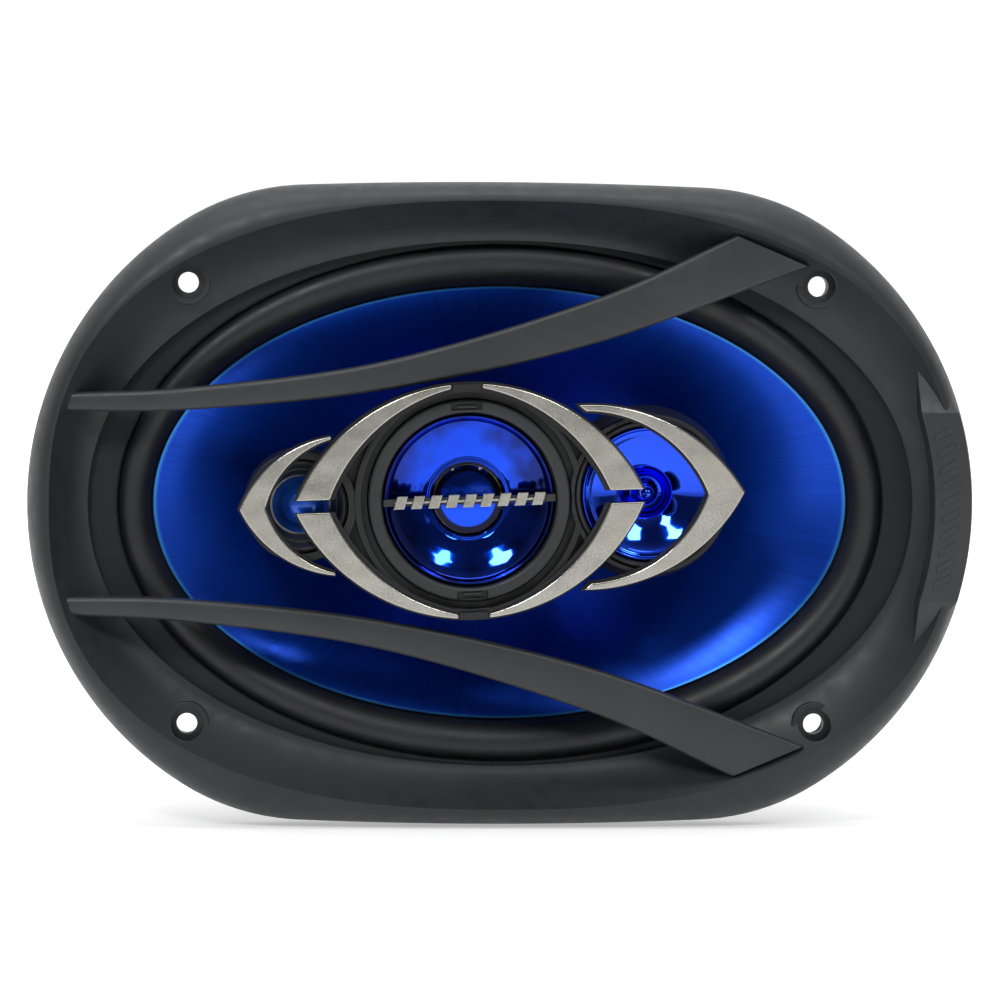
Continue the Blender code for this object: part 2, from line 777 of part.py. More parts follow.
def arc_trim_outline(grow_out=0.0, grow_in=0.0, end_u=ARC_END_U, tip_v=ARC_TIP_V, count=9):
    """Upper right arc of the eye shape: from its narrow end at the top to its wide end over the tweeter."""
    outer = ARC_OUTER_RADIUS + grow_out
    inner = ARC_INNER_RADIUS - grow_in
    centre_u, centre_v = ARC_INNER_CENTRE
    start = math.atan2(math.sqrt(outer**2 - end_u**2), end_u)
    stop = math.asin((tip_v - ARC_CENTRE_V) / outer)
    points = []
    for step in range(count):
        turn = start + (stop - start) * step / (count - 1)
        points.append((outer * math.cos(turn), ARC_CENTRE_V + outer * math.sin(turn)))
    start = math.acos((end_u + centre_u) / inner)
    stop = math.asin((tip_v - centre_v) / inner)
    for step in range(count):
        turn = stop + (start - stop) * step / (count - 1)
        points.append((inner * math.cos(turn) - centre_u, centre_v + inner * math.sin(turn)))
    return points


def crescent_outline(outer_end, inner_end, tip_u, notch_u, outer_radius, inner_radius, count=7):
    """A crescent that points to +u: upper half from the tip to its end, then the lower half mirrored."""
    outer = arc(outer_end, (tip_u, 0.0), outer_radius, count)
    inner = arc(inner_end, (notch_u, 0.0), inner_radius, count)
    lower_outer = mirrored(outer, 1, -1)[:-1]
    lower_inner = mirrored(inner, 1, -1)[:-1]
    return outer + lower_outer[::-1] + lower_inner + inner[::-1]


def right_crescent(grow=0.0):
    outer_end, inner_end = (28.7 - grow, 24.1 + 0.6 * grow), (30.8 - grow, 22.4 - grow)
    return crescent_outline(outer_end, inner_end, 71.6 + grow, 62.0 - grow, 47.0, 34.5)


def left_crescent(grow=0.0):
    outer_end, inner_end = (35.6, 18.1 + 0.6 * grow), (35.6, 17.3 - grow)
    return mirrored(crescent_outline(outer_end, inner_end, 60.0 + grow, 53.2 - grow, 30.7, 24.6), -1)


def trims(axis):
    surface = polished_trim()
    ys = (TRIM_BACK_Y, TRIM_FRONT_Y)
    for name, flip_u, flip_v in (
        ("arc_trim_upper_left", -1, 1),
        ("arc_trim_upper_right", 1, 1),
        ("arc_trim_lower_left", -1, -1),
        ("arc_trim_lower_right", 1, -1),
    ):
        plate(name, mirrored(arc_trim_outline(), flip_u, flip_v), ys, surface, axis)
    plate("crescent_trim_right", right_crescent(), ys, surface, axis)
    plate("crescent_trim_left", left_crescent(), ys, surface, axis)


def eye_outline(grow=0.45, count=17):
    """The pointed oval that the four arcs draw."""
    outer = ARC_OUTER_RADIUS + grow
    stop = math.asin(-ARC_CENTRE_V / outer)
    upper = []
    for step in range(count):
        turn = math.pi - stop + (2 * stop - math.pi) * step / (count - 1)
        upper.append((outer * math.cos(turn), ARC_CENTRE_V + outer * math.sin(turn)))
    return upper + mirrored(upper, 1, -1)[1:-1][::-1]


def bezel(axis):
    """Front moulding of the pod: openings for the three drivers and raised carriers under the trims."""
    surface = pod_plastic()
    made = plate("pod_bezel", eye_outline(), PLATE_Y, surface, axis)
    parts = [
        turned("bezel_right_disc", disc_profile(20.9, (-15.3, -12.35)), surface, (RIGHT_U, 0), axis, 28),
        turned("bezel_left_disc", disc_profile(14.6, (-15.2, -12.45)), surface, (LEFT_U, 0), axis, 20),
        turned("bezel_mid_wall", ring_profile((28.3, 30.1), WALL_Y), surface, (0, 0), axis, 32),
        turned("bezel_right_wall", ring_profile((18.5, 20.85), (-18.8, -13.1)), surface, (RIGHT_U, 0), axis, 28),
        turned("bezel_left_wall", ring_profile((11.5, 14.5), (-18.7, -13.2)), surface, (LEFT_U, 0), axis, 20),
        plate("carrier_right", right_crescent(0.5), (-20.85, -18.45), surface, axis),
        plate("carrier_left", left_crescent(0.5), (-20.8, -18.4), surface, axis),
    ]
    for flip in (1, -1):
        right_half = arc_trim_outline(0.45, 1.1, -0.4)
        outer, inner = right_half[:9], right_half[9:]
        left_outer, left_inner = mirrored(outer, -1)[::-1], mirrored(inner, -1)[::-1]
        rainbow = left_outer[:-1] + outer[1:] + inner[:-1] + left_inner[1:]
        parts.append(plate(f"carrier_arcs_{flip}", mirrored(rainbow, 1, flip), CARRIER_Y, surface, axis))
        block = [(-3.6, 28.95), (3.6, 28.95), (3.6, 30.45), (-3.6, 30.45)]
        parts.append(plate(f"carrier_block_{flip}", mirrored(block, 1, flip), (-22.6, -19.4), surface, axis))
    combine(made, parts, "UNION")
    openings = [
        turned("opening_mid", disc_profile(26.7, (-26.0, -5.0)), surface, (0, 0), axis, 32),
        turned("opening_right", disc_profile(19.7, (-19.2, -5.0)), surface, (RIGHT_U, 0), axis, 28),
        turned("opening_left", disc_profile(12.4, (-19.2, -5.0)), surface, (LEFT_U, 0), axis, 20),
    ]
    combine(made, openings, "DIFFERENCE")


def housing(axis):
    """Rear moulding of the pod: three cups on one hub that sits on the stem."""
    surface = pod_plastic()
    front, rear = HOUSING_Y
    cup = [(0.0, rear), (28.0, rear), (29.6, -2.5), (29.6, front), (0.0, front)]
    made = turned("pod_housing", cup, surface, parent=axis, steps=32)
    right = [(0.0, rear - 0.1), (21.6, rear - 0.1), (22.9, -1.8), (22.9, -5.0), (20.9, front + 0.1)]
    right.append((0.0, front + 0.1))
    left = [(0.0, rear - 0.2), (13.6, rear - 0.2), (14.9, -1.9), (14.5, front + 0.2), (0.0, front + 0.2)]
    web = [(-44, 10), (0, 24), (44, 16), (44, -16), (0, -24), (-44, -10)]
    hub = [(0.0, 6.1), (8.5, 6.1), (14.0, -0.5), (14.0, -3.0), (0.0, -3.0)]
    hub_place = (9.25, -1.1)
    parts = [
        turned("housing_right", right, surface, (RIGHT_U, 0), axis, 28),
        turned("housing_left", left, surface, (LEFT_U, 0), axis, 20),
        plate("housing_web", web, (-11.7, -0.4), surface, axis),
        turned("housing_hub", hub, surface, hub_place, axis, 20),
    ]
    combine(made, parts, "UNION")
    cavities = [
        turned("cavity_mid", disc_profile(27.0, (-14.0, -1.0)), surface, (0, 0), axis, 32),
        turned("cavity_right", disc_profile(18.9, (-14.1, -1.1)), surface, (RIGHT_U, 0), axis, 28),
        turned("cavity_left", disc_profile(12.2, (-14.2, -1.2)), surface, (LEFT_U, 0), axis, 20),
        turned("lead_way", disc_profile(2.6, (-2.0, 8.0)), surface, hub_place, axis, 12),
    ]
    combine(made, cavities, "DIFFERENCE")


def midrange(axis):
    frame = [(22.9, -15.4), (22.9, -18.0), (23.4, -18.5), (25.9, -18.5), (26.4, -18.0), (26.4, -8.0)]
    frame += [(24.8, -8.0), (24.8, -11.9), (21.0, -11.9), (21.0, -12.9), (22.9, -12.9)]
    made = turned("mid_frame", frame, pod_plastic(), parent=axis, steps=32)
    notches = []
    for flip in (1, -1):
        notch = mirrored([(-4.1, 23.5), (4.1, 23.5), (4.1, 25.7), (-4.1, 25.7)], 1, flip)
        notches.append(plate(f"mid_notch_{flip}", notch, (-20.0, -17.0), pod_plastic(), axis))
    combine(made, notches, "DIFFERENCE")
    front = [(22.5, -14.3), (21.9, -15.0), (21.3, -14.5), (17.0, -12.4), (11.2, -9.9), (9.6, -8.8)]
    rear = [(radius, y + 0.5) for radius, y in reversed(front)]
    turned("mid_diaphragm", front + rear, blue_mirror(), parent=axis, steps=32)
    cap = [(0.0, -11.2), (3.5, -11.0), (6.4, -10.4), (8.9, -9.4), (8.9, -8.9), (6.2, -9.9), (0.0, -10.7)]
    turned("mid_dust_cap", cap, blue_mirror(), parent=axis, steps=24)
    turned("mid_voice_coil", ring_profile((6.6, 7.4), (-8.8, -3.8)), copper(), parent=axis, steps=20)
    pot = [(0.0, -7.2), (6.0, -7.2), (6.0, -2.4), (8.0, -2.4), (8.0, -6.6), (11.5, -6.6), (11.5, -1.4)]
    turned("mid_magnet", pot + [(0.0, -1.4)], zinc_steel(), parent=axis, steps=20)


def right_tweeter(axis):
    place = (RIGHT_U, 0.0)
    ring = [(17.9, -16.4), (18.3, -17.6), (19.0, -17.6), (19.4, -17.2), (19.4, -12.4), (18.2, -12.4)]
    ring += [(18.2, -15.6), (17.9, -15.6)]
    turned("tweeter_right_ring", ring, pod_plastic(), place, axis, 28)
    front = [(17.6, -15.4), (17.0, -15.9), (16.5, -15.2), (15.9, -15.2), (9.5, -11.0), (4.4, -8.6)]
    rear = [(radius, y + 0.6) for radius, y in reversed(front)]
    turned("tweeter_right_reflector", front + rear, blue_mirror(), place, axis, 28)
    ball_radius, ball_y = 1.75, -12.2
    bullet = [(0.0, ball_y - ball_radius)]
    for degrees in (40, 75, 110, 138):
        turn = math.radians(degrees)
        bullet.append((ball_radius * math.sin(turn), ball_y - ball_radius * math.cos(turn)))
    bullet += [(1.1, -6.3), (0.0, -6.3)]
    turned("tweeter_right_bullet", bullet, blue_mirror(), place, axis, 16)
    dome = [(1.6, -7.0), (4.0, -7.5), (7.4, -7.0), (7.4, -6.6), (4.0, -7.1), (1.6, -6.6)]
    turned("tweeter_right_diaphragm", dome, blue_mirror(), place, axis, 20)
    turned("tweeter_right_coil", ring_profile((4.6, 5.3), (-6.5, -3.4)), copper(), place, axis, 20)
    pot = [(0.0, -6.0), (4.2, -6.0), (4.2, -2.4), (5.8, -2.4), (5.8, -6.0), (10.5, -6.0), (10.5, -1.5)]
    turned("tweeter_right_magnet", pot + [(0.0, -1.5)], zinc_steel(), place, axis, 20)


def left_tweeter(axis):
    place = (LEFT_U, 0.0)
    ring = [(7.9, -11.4), (9.2, -13.4), (9.8, -13.4), (10.6, -16.2), (11.3, -16.8), (12.1, -16.4)]
    ring += [(12.1, -12.3), (10.4, -12.3), (7.9, -10.9)]
    turned("tweeter_left_ring", ring, pod_plastic(), place, axis, 24)
    dome = [(0.0, -14.6), (2.2, -14.2), (4.2, -13.0), (5.6, -10.9), (7.4, -10.5), (7.4, -10.0), (5.2, -10.3)]
    dome += [(3.8, -12.6), (0.0, -14.0)]
    turned("tweeter_left_dome", dome, blue_mirror(), place, axis, 20)
    turned("tweeter_left_coil", ring_profile((5.5, 6.1), (-9.6, -5.0)), copper(), place, axis, 20)
    pot = [(0.0, -9.0), (5.1, -9.0), (5.1, -3.6), (6.6, -3.6), (6.6, -8.4), (9.5, -8.4), (9.5, -1.6)]
    turned("tweeter_left_magnet", pot + [(0.0, -1.6)], zinc_steel(), place, axis, 20)


def badge(axis):
    """Thin bar across the midrange, with a plain row of slanted bright ribs on it."""
    bar = [(-22.5, -0.95), (22.5, -0.95), (22.5, 0.95), (-22.5, 0.95)]
    plate("badge_bar", bar, (-16.4, -18.0), pod_plastic(), axis)
    teeth, pitch, half_tooth, slant = 9, 4.5, 1.45, 0.55
    spine, height = 0.35, 1.7
    upper, lower = [], []
    for number in range(teeth):
        middle = (number - (teeth - 1) / 2) * pitch
        for row, flip in ((upper, 1), (lower, -1)):
            lean, tip = slant * flip * spine / height, slant * flip
            row += [(middle - half_tooth + lean, flip * spine), (middle - half_tooth + tip, flip * height)]
            row += [(middle + half_tooth + tip, flip * height), (middle + half_tooth + lean, flip * spine)]
    plate("badge_ribs", upper + lower[::-1], (-18.3, -19.2), polished_trim(), axis)


def pod():
    axis = bpy.data.objects.new("pod_axis", None)
    bpy.context.scene.collection.objects.link(axis)
    axis.location = (POD_CENTRE[0] * UNIT, 0.0, POD_CENTRE[1] * UNIT)
    axis.rotation_euler = (0.0, -math.radians(POD_TURN_DEG), 0.0)
    housing(axis)
    bezel(axis)
    midrange(axis)
    right_tweeter(axis)
    left_tweeter(axis)
    badge(axis)
    trims(axis)


def main():
    clear_scene()
    grille_frame()
    basket()
    woofer()
    motor()
    terminals()
    capacitors()
    pod()


main()
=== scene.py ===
"""Looks of the 6x9 inch coaxial car speaker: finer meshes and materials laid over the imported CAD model.

Profiles are in millimetres and the scene is in metres. +X is to the right seen from the front, +Z is up, and
the front faces -Y.
"""

import json
import math

import bmesh
import bpy
from mathutils import Matrix, Vector

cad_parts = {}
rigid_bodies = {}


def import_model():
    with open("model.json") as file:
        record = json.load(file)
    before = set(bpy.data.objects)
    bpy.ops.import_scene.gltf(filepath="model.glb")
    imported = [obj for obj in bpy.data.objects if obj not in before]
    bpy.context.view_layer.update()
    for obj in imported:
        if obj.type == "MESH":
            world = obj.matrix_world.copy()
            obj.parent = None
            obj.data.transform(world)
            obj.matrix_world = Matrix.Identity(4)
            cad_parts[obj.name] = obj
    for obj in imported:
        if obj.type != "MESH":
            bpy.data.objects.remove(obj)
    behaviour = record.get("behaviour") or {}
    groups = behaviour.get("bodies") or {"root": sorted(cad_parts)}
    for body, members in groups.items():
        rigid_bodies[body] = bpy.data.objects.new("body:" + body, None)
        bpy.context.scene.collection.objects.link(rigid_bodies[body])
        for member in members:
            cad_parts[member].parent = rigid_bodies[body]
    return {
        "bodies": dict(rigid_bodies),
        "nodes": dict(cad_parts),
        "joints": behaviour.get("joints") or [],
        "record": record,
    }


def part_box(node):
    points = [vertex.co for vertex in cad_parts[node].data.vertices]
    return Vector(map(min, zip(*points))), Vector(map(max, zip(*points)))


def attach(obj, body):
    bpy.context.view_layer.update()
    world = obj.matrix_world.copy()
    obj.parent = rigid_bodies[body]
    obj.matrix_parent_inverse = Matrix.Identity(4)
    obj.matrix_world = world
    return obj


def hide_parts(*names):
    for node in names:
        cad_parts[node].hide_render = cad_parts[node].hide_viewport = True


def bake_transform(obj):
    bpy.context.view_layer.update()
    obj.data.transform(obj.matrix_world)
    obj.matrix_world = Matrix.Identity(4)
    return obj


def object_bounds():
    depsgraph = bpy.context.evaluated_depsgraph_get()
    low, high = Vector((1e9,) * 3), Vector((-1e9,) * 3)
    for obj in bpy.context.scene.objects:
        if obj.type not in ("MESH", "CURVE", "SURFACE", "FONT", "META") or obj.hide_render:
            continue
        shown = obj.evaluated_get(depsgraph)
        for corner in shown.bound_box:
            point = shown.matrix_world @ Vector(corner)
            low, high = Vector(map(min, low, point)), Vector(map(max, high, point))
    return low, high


UNIT = 0.001
FLOOR_GAP = 0.0002
SHARP_DEG = 32

# Height of the ovals as a share of their width, for spreading columns and legs round them
OVAL_FLATNESS = 0.68

# Grille
RIM_HALF_WIDTH = 124.5
RIM_FLANK_RADIUS = 1360.0
RIM_CORNER_RADIUS = 61.5
RIM_END_RADIUS = 87.5
RIM_WALL = 2.4
CREST = (118.4, 79.5, 2.44)
CREST_Y = -18.5
SHOULDER_DROP = 12.0
OPENING = (108.7, 69.2, 2.1)
LIP_Y = -7.6
LIP_REAR_Y = -5.6
INNER_WALL_POWER = 1.6
SCREW_X = 82.55
SCREW_Z = 57.7
SCREW_HOLE_RADIUS = 2.7
SCREW_SEAT_RADIUS = 4.2
SCREW_SEAT_Y = -10.5
SCREW_BOSS_RADIUS = 5.8
BAR_INNER_EDGE = ((-115.6, 24.2), (-82, 24.7), (-32, 30.0), (23.5, 42.5), (79.2, 62.9))
BAR_OUTER_EDGE = ((-115.1, 29.0), (-82, 30.6), (-32, 37.6), (23, 54.0), (60.2, 70.9))
BAR_LEFT_Y = -16.2
BAR_RIGHT_Y = -17.7
BAR_BOW = 2.0
BAR_DEPTH = 5.0
BAR_EDGE_RADIUS = 1.3
PAD_FLAT_HALF = 24.8
PAD_HALF = 36.0
PAD_INNER_X = 112.9
PAD_INNER_SAG = 3.9
PAD_INNER_Y = -19.4
PAD_OUTER_Y = -18.4
PAD_OUTER_INSET = 1.7
PAD_TIP_Y = -15.5

# Basket and woofer
FLANGE_INSET = 6.7
FLANGE_HOLE_RADIUS = 3.3
LEGS = 8
WALL_FRONT = ((99.2, 67.2), (62.0, 55.0))
WALL_REAR = ((100.6, 68.6), (63.2, 56.2))
WALL_START_Y = 6.0
WALL_DEPTH = 29.0
WINDOW_YS = (8.2, 32.8)
WINDOW_CORNER = 4.0
CONE_EDGE = (91.8, 57.2)
CONE_NECK_RADIUS = 19.5
CONE_EDGE_Y = -1.2
CONE_DEPTH = 36.2
CONE_CURVE = 1.25
GASKET_INNER = (101.2, 68.5)
GASKET_OUTER = (111.6, 73.6)

# Pod
POD_CENTRE = (-9.2, 1.45)
POD_TURN_DEG = 2.2
RIGHT_U = 47.1
LEFT_U = -43.9
ARC_CENTRE_V = -19.4
ARC_OUTER_RADIUS = 50.0
ARC_INNER_RADIUS = 46.0
ARC_INNER_CENTRE = (6.2, -15.55)
ARC_END_U = 4.0
ARC_TIP_V = 1.6
TRIM_Y = (-21.2, -23.0)

# Camera: direction from the object, and framing
CAMERA_AZIMUTH_DEG = -3.5
CAMERA_ELEVATION_DEG = 3.2
CAMERA_DISTANCE = 1.2
CAMERA_ROLL_DEG = 0.42
CAMERA_LENS = 163.2
CAMERA_SHIFT = (-0.0006, 0.0024)


# ---------------------------------------------------------------- materials


class Look:
    """A node material under construction: a Principled shader and short calls that add what feeds it."""

    def __init__(self, name, color, roughness, metallic=0.0, **sockets):
        self.material = bpy.data.materials.new(name)
        self.material.use_nodes = True
        self.tree = self.material.node_tree
        self.shader = self.tree.nodes["Principled BSDF"]
        self.shader.inputs["Base Color"].default_value = (*color, 1.0)
        self.shader.inputs["Roughness"].default_value = roughness
        self.shader.inputs["Metallic"].default_value = metallic
        for socket, value in sockets.items():
            self.shader.inputs[socket.replace("_", " ")].default_value = value
        self.place = self.node("ShaderNodeTexCoord").outputs["Object"]

    def node(self, kind, **sockets):
        made = self.tree.nodes.new(kind)
        for socket, value in sockets.items():
            self.feed(made.inputs[socket.replace("_", " ")], value)
        return made

    def feed(self, socket, value):
        if isinstance(value, bpy.types.NodeSocket):
            self.tree.links.new(value, socket)
        else:
            socket.default_value = value

    def math(self, operation, first, second=0.0):
        made = self.tree.nodes.new("ShaderNodeMath")
        made.operation = operation
        self.feed(made.inputs[0], first)
        self.feed(made.inputs[1], second)
        return made.outputs[0]

    def vector(self, operation, first, second=(0.0, 0.0, 0.0)):
        made = self.tree.nodes.new("ShaderNodeVectorMath")
        made.operation = operation
        self.feed(made.inputs[0], first)
        self.feed(made.inputs[1], second)
        return made.outputs["Value" if operation in ("LENGTH", "DOT_PRODUCT") else "Vector"]

    def noise(self, scale, detail=3.0, place=None, roughness=0.5):
        made = self.node("ShaderNodeTexNoise", Vector=place or self.place, Scale=scale, Detail=detail)
        made.inputs["Roughness"].default_value = roughness
        return made.outputs["Fac"]

    def between(self, value, low, high, start=0.3, stop=0.7):
        made = self.node("ShaderNodeMapRange", Value=value, From_Min=start, From_Max=stop)
        made.inputs["To Min"].default_value = low
        made.inputs["To Max"].default_value = high
        return made.outputs["Result"]

    def spread(self, scale, detail, low, high, start=0.3, stop=0.7):
        """Noise spread between low and high."""
        return self.between(self.noise(scale, detail), low, high, start, stop)

    def mix(self, share, first, second):
        """Colour from first to second by share, held between 0 and 1."""
        made = self.tree.nodes.new("ShaderNodeMix")
        made.data_type = "RGBA"
        self.feed(made.inputs[0], share)
        for socket, value in ((made.inputs[6], first), (made.inputs[7], second)):
            self.feed(socket, value if isinstance(value, bpy.types.NodeSocket) else (*value, 1.0))
        return made.outputs[2]

    def color(self, value):
        self.feed(self.shader.inputs["Base Color"], value)
        return self

    def roughness(self, value):
        self.feed(self.shader.inputs["Roughness"], value)
        return self

    def bump(self, *layers):
        """Layers are (height value, strength, distance in millimetres), each laid over the one before."""
        normal = None
        for height, strength, distance in layers:
            made = self.node("ShaderNodeBump", Height=height, Strength=strength)
            made.inputs["Distance"].default_value = distance * UNIT
            if normal:
                self.feed(made.inputs["Normal"], normal)
            normal = made.outputs["Normal"]
        self.feed(self.shader.inputs["Normal"], normal)
        return self

    def round_place(self, centre, half_width=1.0, half_height=1.0):
        """Place round a centre in the XZ plane, as (unit direction, distance in half widths)."""
        moved = self.vector("SUBTRACT", self.place, (centre[0] * UNIT, 0.0, centre[1] * UNIT))
        sized = self.vector("DIVIDE", moved, (half_width * UNIT, 1e9, half_height * UNIT))
        return self.vector("NORMALIZE", sized), self.vector("LENGTH", sized)


def plastic(name, color, roughness=0.5, grain=0.25, lighter=1.35):
    """Moulded plastic with a fine spark-eroded grain and faint flow marks."""
    look = Look(name, color, roughness, Specular_IOR_Level=0.45)
    drift = look.noise(35, 4)
    tint = look.mix(look.between(drift, 0, 1), color, tuple(channel * lighter for channel in color))
    dust = look.spread(1500, 2, 0.0, 1.0, 0.71, 0.78)
    look.color(look.mix(look.math("MULTIPLY", dust, 0.12), tint, (0.3, 0.31, 0.32)))
    look.roughness(look.spread(260, 3, roughness - 0.06, roughness + 0.08))
    return look.bump((look.noise(3600, 2), grain, 0.06), (look.noise(90, 2), 0.05, 0.4)).material


def rubber():
    look = Look("surround_rubber", (0.006, 0.0065, 0.008), 0.42, Specular_IOR_Level=0.5)
    reach = look.round_place((0, 0), *CONE_EDGE)[1]
    bloom = look.spread(60, 5, 0, 1, 0.35, 0.75)
    look.color(look.mix(bloom, (0.0055, 0.006, 0.008), (0.010, 0.0108, 0.0135)))
    look.roughness(look.spread(220, 4, 0.42, 0.55))
    rings = look.math("SINE", look.math("MULTIPLY", reach, 420.0))
    return look.bump((look.noise(2600, 2), 0.12, 0.05), (rings, 0.04, 0.04)).material


def fibre(name, low, high, scale=420):
    """Pressed fibre: short tangled marks in two tones."""
    look = Look(name, low, 0.85, Specular_IOR_Level=0.3)
    stretched = look.vector("MULTIPLY", look.place, (1.0, 1.0, 2.6))
    strands = look.noise(scale, 6, stretched, 0.7)
    look.color(look.mix(look.between(strands, 0, 1, 0.38, 0.64), low, high))
    look.roughness(look.between(strands, 0.72, 0.95))
    return look.bump((strands, 0.35, 0.12), (look.noise(2400, 2), 0.2, 0.05)).material


def cone_film():
    """Blue metallised film, drawn so that fine lines run from the neck to the edge, with a pale rim."""
    coat = {"Coat_Weight": 0.18, "Coat_Roughness": 0.3}
    look = Look("cone_film", (0.0, 0.04, 0.5), 0.38, 0.85, Anisotropic=0.5, **coat)
    look.shader.inputs["Anisotropic Rotation"].default_value = 0.25
    tangent = look.tree.nodes.new("ShaderNodeTangent")
    tangent.direction_type = "RADIAL"
    tangent.axis = "Y"
    look.feed(look.shader.inputs["Tangent"], tangent.outputs[0])
    direction, reach = look.round_place((0, 0), *CONE_EDGE)
    lines = look.noise(70, 4, look.vector("MULTIPLY", direction, (2.2, 2.2, 2.2)), 0.65)
    fine = look.noise(420, 2, direction)
    body = look.mix(look.between(lines, 0, 1), (0.0, 0.04, 0.45), (0.0, 0.07, 0.62))
    rim = look.between(reach, 0.0, 1.0, 0.985, 0.996)
    look.color(look.mix(rim, body, (0.04, 0.26, 0.7)))
    look.roughness(look.between(fine, 0.27, 0.42))
    return look.bump((lines, 0.05, 0.25), (fine, 0.06, 0.06)).material


def blue_mirror(name, centre=None, rays=0.0, band=None, clear=None):
    """Blue metallised plastic. rays above 0 gives fine spokes round centre. band, in mm from centre, is where the
    tint turns from blue into near black. Outside the oval of half width and height clear the tint darkens into
    painted shade, a darker reflection painted at the dish's sides and top."""
    look = Look(name, (0.0, 0.045, 0.85), 0.06, 1.0, Coat_Weight=0.6, Coat_Roughness=0.03)
    tint = look.mix(look.spread(40, 3, 0, 1), (0.0, 0.05, 0.7), (0.004, 0.08, 0.9))
    # Painted shade: outside the oval clear the tint darkens towards near black, in place of the darker
    # reflections at the dish's sides and top.
    if clear:
        reach = look.round_place(pod_place(centre), *clear)[1]
        painted_shade_reach = look.math("ADD", reach, look.spread(110, 2, -0.22, 0.22))
        tint = look.mix(look.between(painted_shade_reach, 0, 1, 0.85, 1.3), tint, (0.002, 0.014, 0.17))
    if band:
        tint = look.mix(look.between(pod_reach(look, centre)[1], 0, 1, *band), tint, (0.0, 0.001, 0.02))
        look.shader.inputs["Coat Weight"].default_value = 0.4
    look.color(tint)
    look.roughness(look.spread(300, 3, 0.045, 0.10))
    layers = [(look.noise(120, 2), 0.02, 0.2)]
    if rays:
        layers.append((look.noise(26, 3, pod_reach(look, centre)[0]), rays, 0.25))
    return look.bump(*layers).material


def dome_film():
    """Blue film of the small dome: less mirror-like than the metallised parts, under a clear coat."""
    look = Look("dome_film", (0.01, 0.12, 0.8), 0.34, 0.55, Coat_Weight=0.9, Coat_Roughness=0.04)
    look.color(look.mix(look.spread(160, 3, 0, 1), (0.004, 0.09, 0.72), (0.02, 0.16, 0.86)))
    look.roughness(look.spread(900, 3, 0.28, 0.4))
    return look.bump((look.noise(300, 2), 0.04, 0.1)).material


def pod_place(along):
    turn = math.radians(POD_TURN_DEG)
    return POD_CENTRE[0] + along * math.cos(turn), POD_CENTRE[1] + along * math.sin(turn)


def pod_reach(look, along):
    """Direction from, and distance in millimetres to, the driver at this place along the pod."""
    return look.round_place(pod_place(along))


def trim_metal():
    """Metallised plastic trim: bright, with a slightly orange-peeled and mottled face."""
    look = Look("trim_metal", (0.6, 0.59, 0.54), 0.2, 1.0)
    mottle = look.noise(1700, 4, roughness=0.65)
    drift = look.noise(55, 3)
    worn = look.mix(look.between(mottle, 0, 1, 0.35, 0.68), (0.34, 0.33, 0.3), (0.58, 0.57, 0.52))
    look.color(look.mix(look.between(drift, 0.0, 0.45), worn, (0.52, 0.49, 0.42)))
    look.roughness(look.between(mottle, 0.15, 0.23))
    return look.bump((look.noise(60, 2), 0.5, 0.5), (look.noise(700, 3), 0.03, 0.06)).material


def brushed(name, color, roughness=0.32, turned_marks=True):
    """Plated steel with faint handling marks, and turning marks round the axis where it is turned."""
    look = Look(name, color, roughness, 1.0)
    stain = look.noise(70, 5)
    darker = tuple(channel * 0.72 for channel in color)
    look.color(look.mix(look.between(stain, 0, 1, 0.4, 0.75), color, darker))
    look.roughness(look.spread(180, 4, roughness - 0.08, roughness + 0.12))
    layers = [(look.noise(1400, 3), 0.06, 0.05)]
    if turned_marks:
        rings = look.math("SINE", look.math("MULTIPLY", look.round_place((0, 0))[1], 26.0))
        layers += [(look.noise(9, 3), 0.02, 0.3), (rings, 0.10, 0.03)]
    return look.bump(*layers).material


def powder_coat():
    look = Look("basket_powder_coat", (0.018, 0.0185, 0.02), 0.36, Specular_IOR_Level=0.55)
    peel = look.noise(620, 3)
    look.color(look.mix(look.spread(30, 4, 0, 1), (0.015, 0.0155, 0.017), (0.028, 0.029, 0.031)))
    look.roughness(look.between(peel, 0.28, 0.44))
    return look.bump((peel, 0.16, 0.12), (look.noise(2800, 2), 0.06, 0.04)).material


def ferrite():
    look = Look("magnet_ferrite", (0.035, 0.035, 0.037), 0.6)
    grains = look.noise(900, 6, roughness=0.7)
    chips = look.between(look.noise(120, 5, roughness=0.75), 0, 1, 0.68, 0.74)
    body = look.mix(look.between(grains, 0, 1), (0.026, 0.026, 0.028), (0.055, 0.055, 0.06))
    look.color(look.mix(look.math("MULTIPLY", chips, 0.5), body, (0.11, 0.11, 0.12)))
    look.roughness(look.between(grains, 0.5, 0.74))
    return look.bump((grains, 0.3, 0.08), (chips, -0.4, 0.15)).material


def spider_weave():
    look = Look("spider_weave", (0.55, 0.4, 0.15), 0.8)
    split = look.node("ShaderNodeSeparateXYZ", Vector=look.place)
    warp = look.math("SINE", look.math("MULTIPLY", split.outputs[0], 7500.0))
    weft = look.math("SINE", look.math("MULTIPLY", split.outputs[2], 7500.0))
    weave = look.math("MULTIPLY", warp, weft)
    tone = look.mix(look.between(weave, 0, 1, -0.6, 0.6), (0.4, 0.27, 0.09), (0.66, 0.5, 0.22))
    look.color(tone)
    look.roughness(look.spread(200, 3, 0.7, 0.9))
    return look.bump((weave, 0.5, 0.12), (look.noise(900, 3), 0.2, 0.06)).material


def wound(name, color, pitch, metallic=1.0, axis=1, roughness=0.3):
    """Wire or braid laid at a fixed pitch (mm) along an axis."""
    look = Look(name, color, roughness, metallic)
    split = look.node("ShaderNodeSeparateXYZ", Vector=look.place)
    turns = look.math("SINE", look.math("MULTIPLY", split.outputs[axis], math.tau / (pitch * UNIT)))
    darker = tuple(channel * 0.45 for channel in color)
    look.color(look.mix(look.between(turns, 0, 1, -0.9, 0.1), darker, color))
    look.roughness(look.spread(500, 3, roughness - 0.08, roughness + 0.1))
    return look.bump((turns, 0.6, pitch * 0.35)).material


